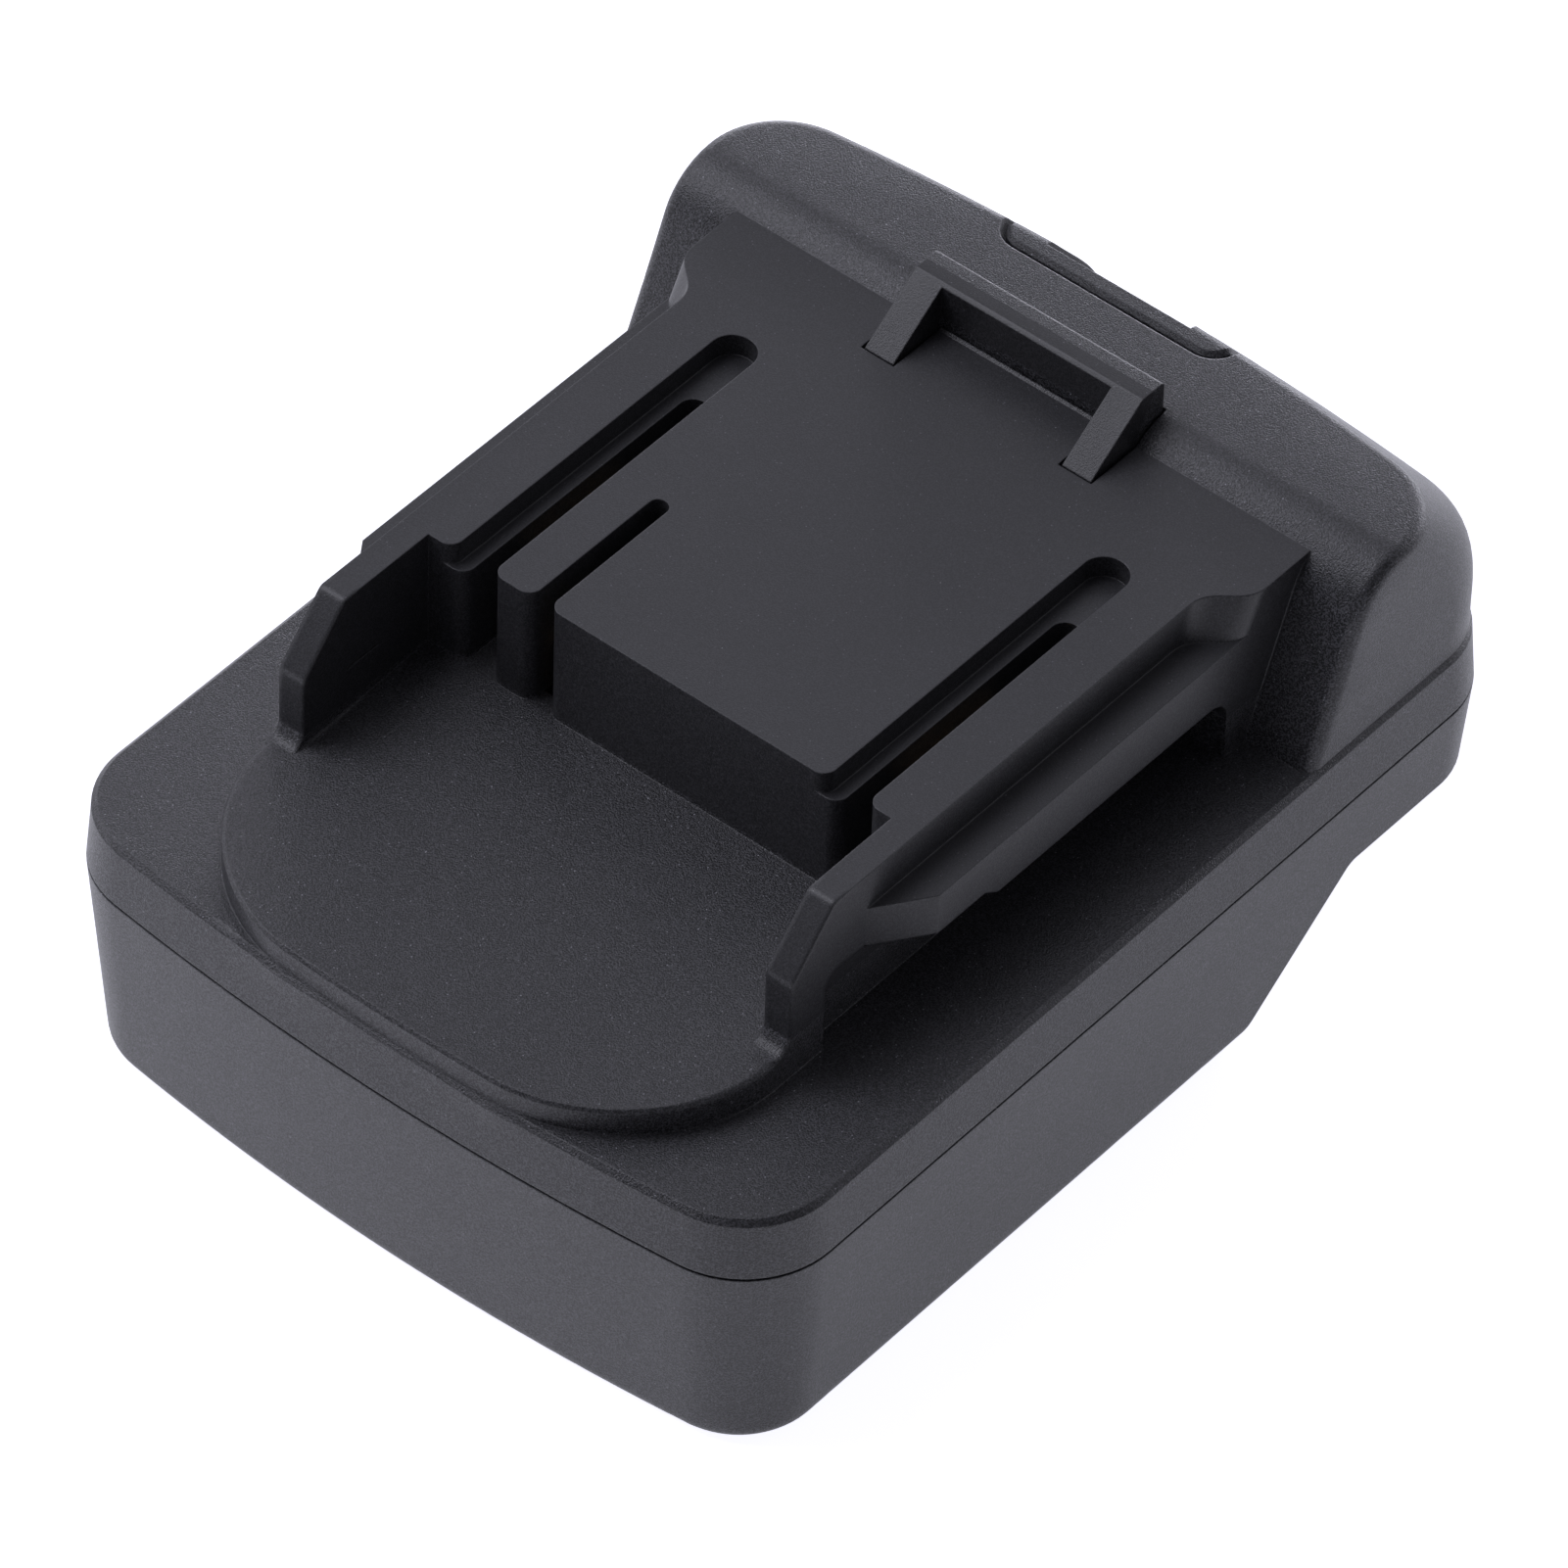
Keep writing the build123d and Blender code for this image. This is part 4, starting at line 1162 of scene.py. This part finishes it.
def node_slot(node: str) -> str:
    """Material slot that the record gives a node."""
    parts = frame["record"]["subparts"]
    return next(part["material_slot"] for part in parts if part["node"] == node)


def node_body(node: str) -> str:
    """Body that a node belongs to."""
    bodies = frame["record"]["behaviour"]["bodies"]
    return next(body for body, members in bodies.items() if node in members)


@dataclass
class MetalSet:
    """Clips and blades, which keep their solids and get their finish."""

    finishes: dict[str, bpy.types.Material]

    def build(self) -> None:
        """Give each node its finish."""
        for node, material in self.finishes.items():
            solid = frame["nodes"][node]
            if not solid.material_slots:
                solid.data.materials.append(material)
            for entry in solid.material_slots:
                entry.material = material
            LOG.info("%s: %s", node, material.name)


class StudioLamp(Enum):
    """Lamps of the studio, by the side that they stand on."""

    KEY = "key"
    TOP = "top"
    RIM = "rim"


@dataclass(frozen=True)
class LampSetting:
    """Place, size and power of one softbox."""

    azimuth: float
    elevation: float
    distance: float
    width: float
    height: float
    power: float


@dataclass
class Studio:
    """Pale floor and room, softboxes and the camera at the photograph's angle."""

    camera_place: Point = (0.50356, -0.63059, 0.83541)
    camera_turn: Point = (44.64305, -1.39307, 40.03876)
    lens: float = 305.0644
    sensor: float = 36.0
    floor_half: float = 3.0
    floor_shade: float = 0.80
    paper_seen: float = 0.92
    paper_mirrored: float = 0.57
    cool: float = 0.12
    world_shade: float = 0.11
    wall_azimuth: float = 129.0
    wall_fade: tuple[float, float] = (-0.25, 0.35)
    wall_shade: float = 1.0
    wall_top: float = 0.75
    ceiling_shade: float = 0.62
    dark_share: float = 0.15
    lamp_aim: Point = (0.0, 0.0, 0.02)
    lamps: dict[StudioLamp, LampSetting] = field(
        default_factory=lambda: {
            StudioLamp.KEY: LampSetting(-155.0, 42.0, 1.2, 0.64, 0.56, 3.3),
            StudioLamp.TOP: LampSetting(-155.0, 66.0, 1.2, 0.60, 0.50, 2.6),
            StudioLamp.RIM: LampSetting(106.0, 5.0, 1.3, 1.7, 0.28, 11.0),
        }
    )

    def camera(self) -> None:
        """Stand the camera where the photograph was taken."""
        data = bpy.data.cameras.new("photo_camera")
        data.lens = self.lens
        data.sensor_width = self.sensor
        data.sensor_fit = "HORIZONTAL"
        data.clip_start = 0.01
        data.clip_end = 20.0
        stand = bpy.data.objects.new("photo_camera", data)
        stand.location = self.camera_place
        stand.rotation_euler = [math.radians(angle) for angle in self.camera_turn]
        bpy.context.scene.collection.objects.link(stand)
        bpy.context.scene.camera = stand

    def floor(self) -> None:
        """Lay the floor, which shows white to the camera and keeps a soft shadow."""
        bench = MaterialBench("studio_floor")
        path = bench.node("ShaderNodeLightPath", {}, {})
        seen = path["Is Camera Ray"] * self.paper_seen
        shown = seen + path["Is Glossy Ray"] * self.paper_mirrored
        sockets = {"Color": grey(self.floor_shade)}
        paper = bench.node("ShaderNodeBsdfDiffuse", {}, sockets)["BSDF"]
        sockets = {"Color": grey(1.0, self.cool), "Strength": shown}
        glow = bench.node("ShaderNodeEmission", {}, sockets)["Emission"]
        both = bench.node("ShaderNodeAddShader", {}, {0: paper, 1: glow})
        output = bench.tree.nodes.new("ShaderNodeOutputMaterial")
        bench.tree.links.new(both.made.outputs[0], output.inputs["Surface"])
        half = self.floor_half
        mesh = bpy.data.meshes.new("studio_floor")
        corners = [(-half, -half, 0.0), (half, -half, 0.0), (half, half, 0.0), (-half, half, 0.0)]
        mesh.from_pydata(corners, [], [(0, 1, 2, 3)])
        mesh_object("studio_floor", mesh, bench.material)

    def world(self) -> None:
        """Fill the room with even light and show it white to the camera."""
        world = bpy.data.worlds.new("studio_world")
        bpy.context.scene.world = world
        world.use_nodes = True
        world.node_tree.nodes.clear()
        room = NodeBench(world.node_tree)
        path = room.node("ShaderNodeLightPath", {}, {})
        aim = room.axes(room.node("ShaderNodeTexCoord", {}, {})["Generated"])
        azimuth = math.radians(self.wall_azimuth)
        towards = aim[0] * math.cos(azimuth) + aim[1] * math.sin(azimuth)
        lift = aim[2].ramp(0.0, self.wall_top, self.wall_shade, self.ceiling_shade)
        side = towards.ramp(*self.wall_fade, self.dark_share, 1.0)
        mirrored = path["Is Glossy Ray"] * (lift * side - self.world_shade)
        strength = (self.world_shade + mirrored).most(path["Is Camera Ray"])
        sockets = {"Color": grey(1.0, self.cool), "Strength": strength}
        sky = room.node("ShaderNodeBackground", {}, sockets)
        output = room.tree.nodes.new("ShaderNodeOutputWorld")
        room.tree.links.new(sky.made.outputs["Background"], output.inputs["Surface"])

    def lamp(self, which: StudioLamp, setting: LampSetting) -> None:
        """Hang one softbox that faces the adapter.

        Args:
            which: The lamp.
            setting: Its place, size and power.
        """
        data = bpy.data.lights.new(f"softbox_{which.value}", "AREA")
        data.shape = "RECTANGLE"
        data.size = setting.width
        data.size_y = setting.height
        data.energy = setting.power
        data.color = (1.0, 1.0, 1.0 + self.cool)
        azimuth, elevation = math.radians(setting.azimuth), math.radians(setting.elevation)
        reach = setting.distance * math.cos(elevation)
        rise = setting.distance * math.sin(elevation)
        spot = Vector((reach * math.cos(azimuth), reach * math.sin(azimuth), rise))
        stand = bpy.data.objects.new(f"softbox_{which.value}", data)
        stand.location = spot
        stand.rotation_euler = (Vector(self.lamp_aim) - spot).to_track_quat("-Z", "Y").to_euler()
        bpy.context.scene.collection.objects.link(stand)

    def build(self) -> None:
        """Set up the whole studio."""
        bpy.context.scene.view_settings.view_transform = "Standard"
        self.camera()
        self.world()
        self.floor()
        for which, setting in self.lamps.items():
            self.lamp(which, setting)
        LOG.info("studio: %d softboxes", len(self.lamps))


def main() -> None:
    """Dress the adapter and set up the studio."""
    logging.basicConfig(level=logging.INFO, format="%(name)s: %(message)s")
    housing = MouldedPlastic("black_housing_plastic").material()
    latch = MouldedPlastic("black_latch_plastic", shade=0.024, roughness=0.40).material()
    insulator = MouldedPlastic(
        "black_insulator_plastic", Texture.POLISHED, shade=0.036, roughness=0.38
    ).material()
    brass = PlatedMetal("clip_brass", (0.80, 0.60, 0.33)).material()
    tin = PlatedMetal("blade_tin", (0.78, 0.78, 0.76), roughness=0.22).material()
    spring_steel = PlatedMetal("spring_steel", (0.60, 0.60, 0.61), roughness=0.3).material()
    screw_steel = PlatedMetal("screw_zinc", (0.50, 0.50, 0.52), roughness=0.3).material()
    mouldings = {
        "upper_housing": housing,
        "lower_housing": housing,
        "release_latch": latch,
        "blade_block": insulator,
        "contact_carrier": insulator,
    }
    metals = {
        "tool_contact_positive": brass,
        "tool_contact_negative": brass,
        "tool_contact_signal": brass,
        "battery_blade_positive": tin,
        "battery_blade_negative": tin,
        "battery_blade_signal": tin,
    }
    leads = {
        "lead_positive": WireInsulation("red_insulation", (0.45, 0.03, 0.02)).material(),
        "lead_negative": WireInsulation("black_insulation", (0.02, 0.02, 0.02)).material(),
        "lead_signal": WireInsulation("yellow_insulation", (0.62, 0.46, 0.05)).material(),
    }
    MouldedShells(mouldings).build()
    MetalSet(metals).build()
    MouldedShells(leads, LEAD_SMOOTH).build()
    TappingScrews("front_screws", 34.2 * MM, -42.0 * MM, 9.0 * MM, 18.1 * MM).build(screw_steel)
    TappingScrews("rear_screws", 33.4 * MM, 39.5 * MM, 15.7 * MM, 11.4 * MM).build(screw_steel)
    for side in ("left", "right"):
        LatchSpring(f"latch_spring_{side}").build(spring_steel)
    Studio().build()


if __name__ == "__main__":
    main()
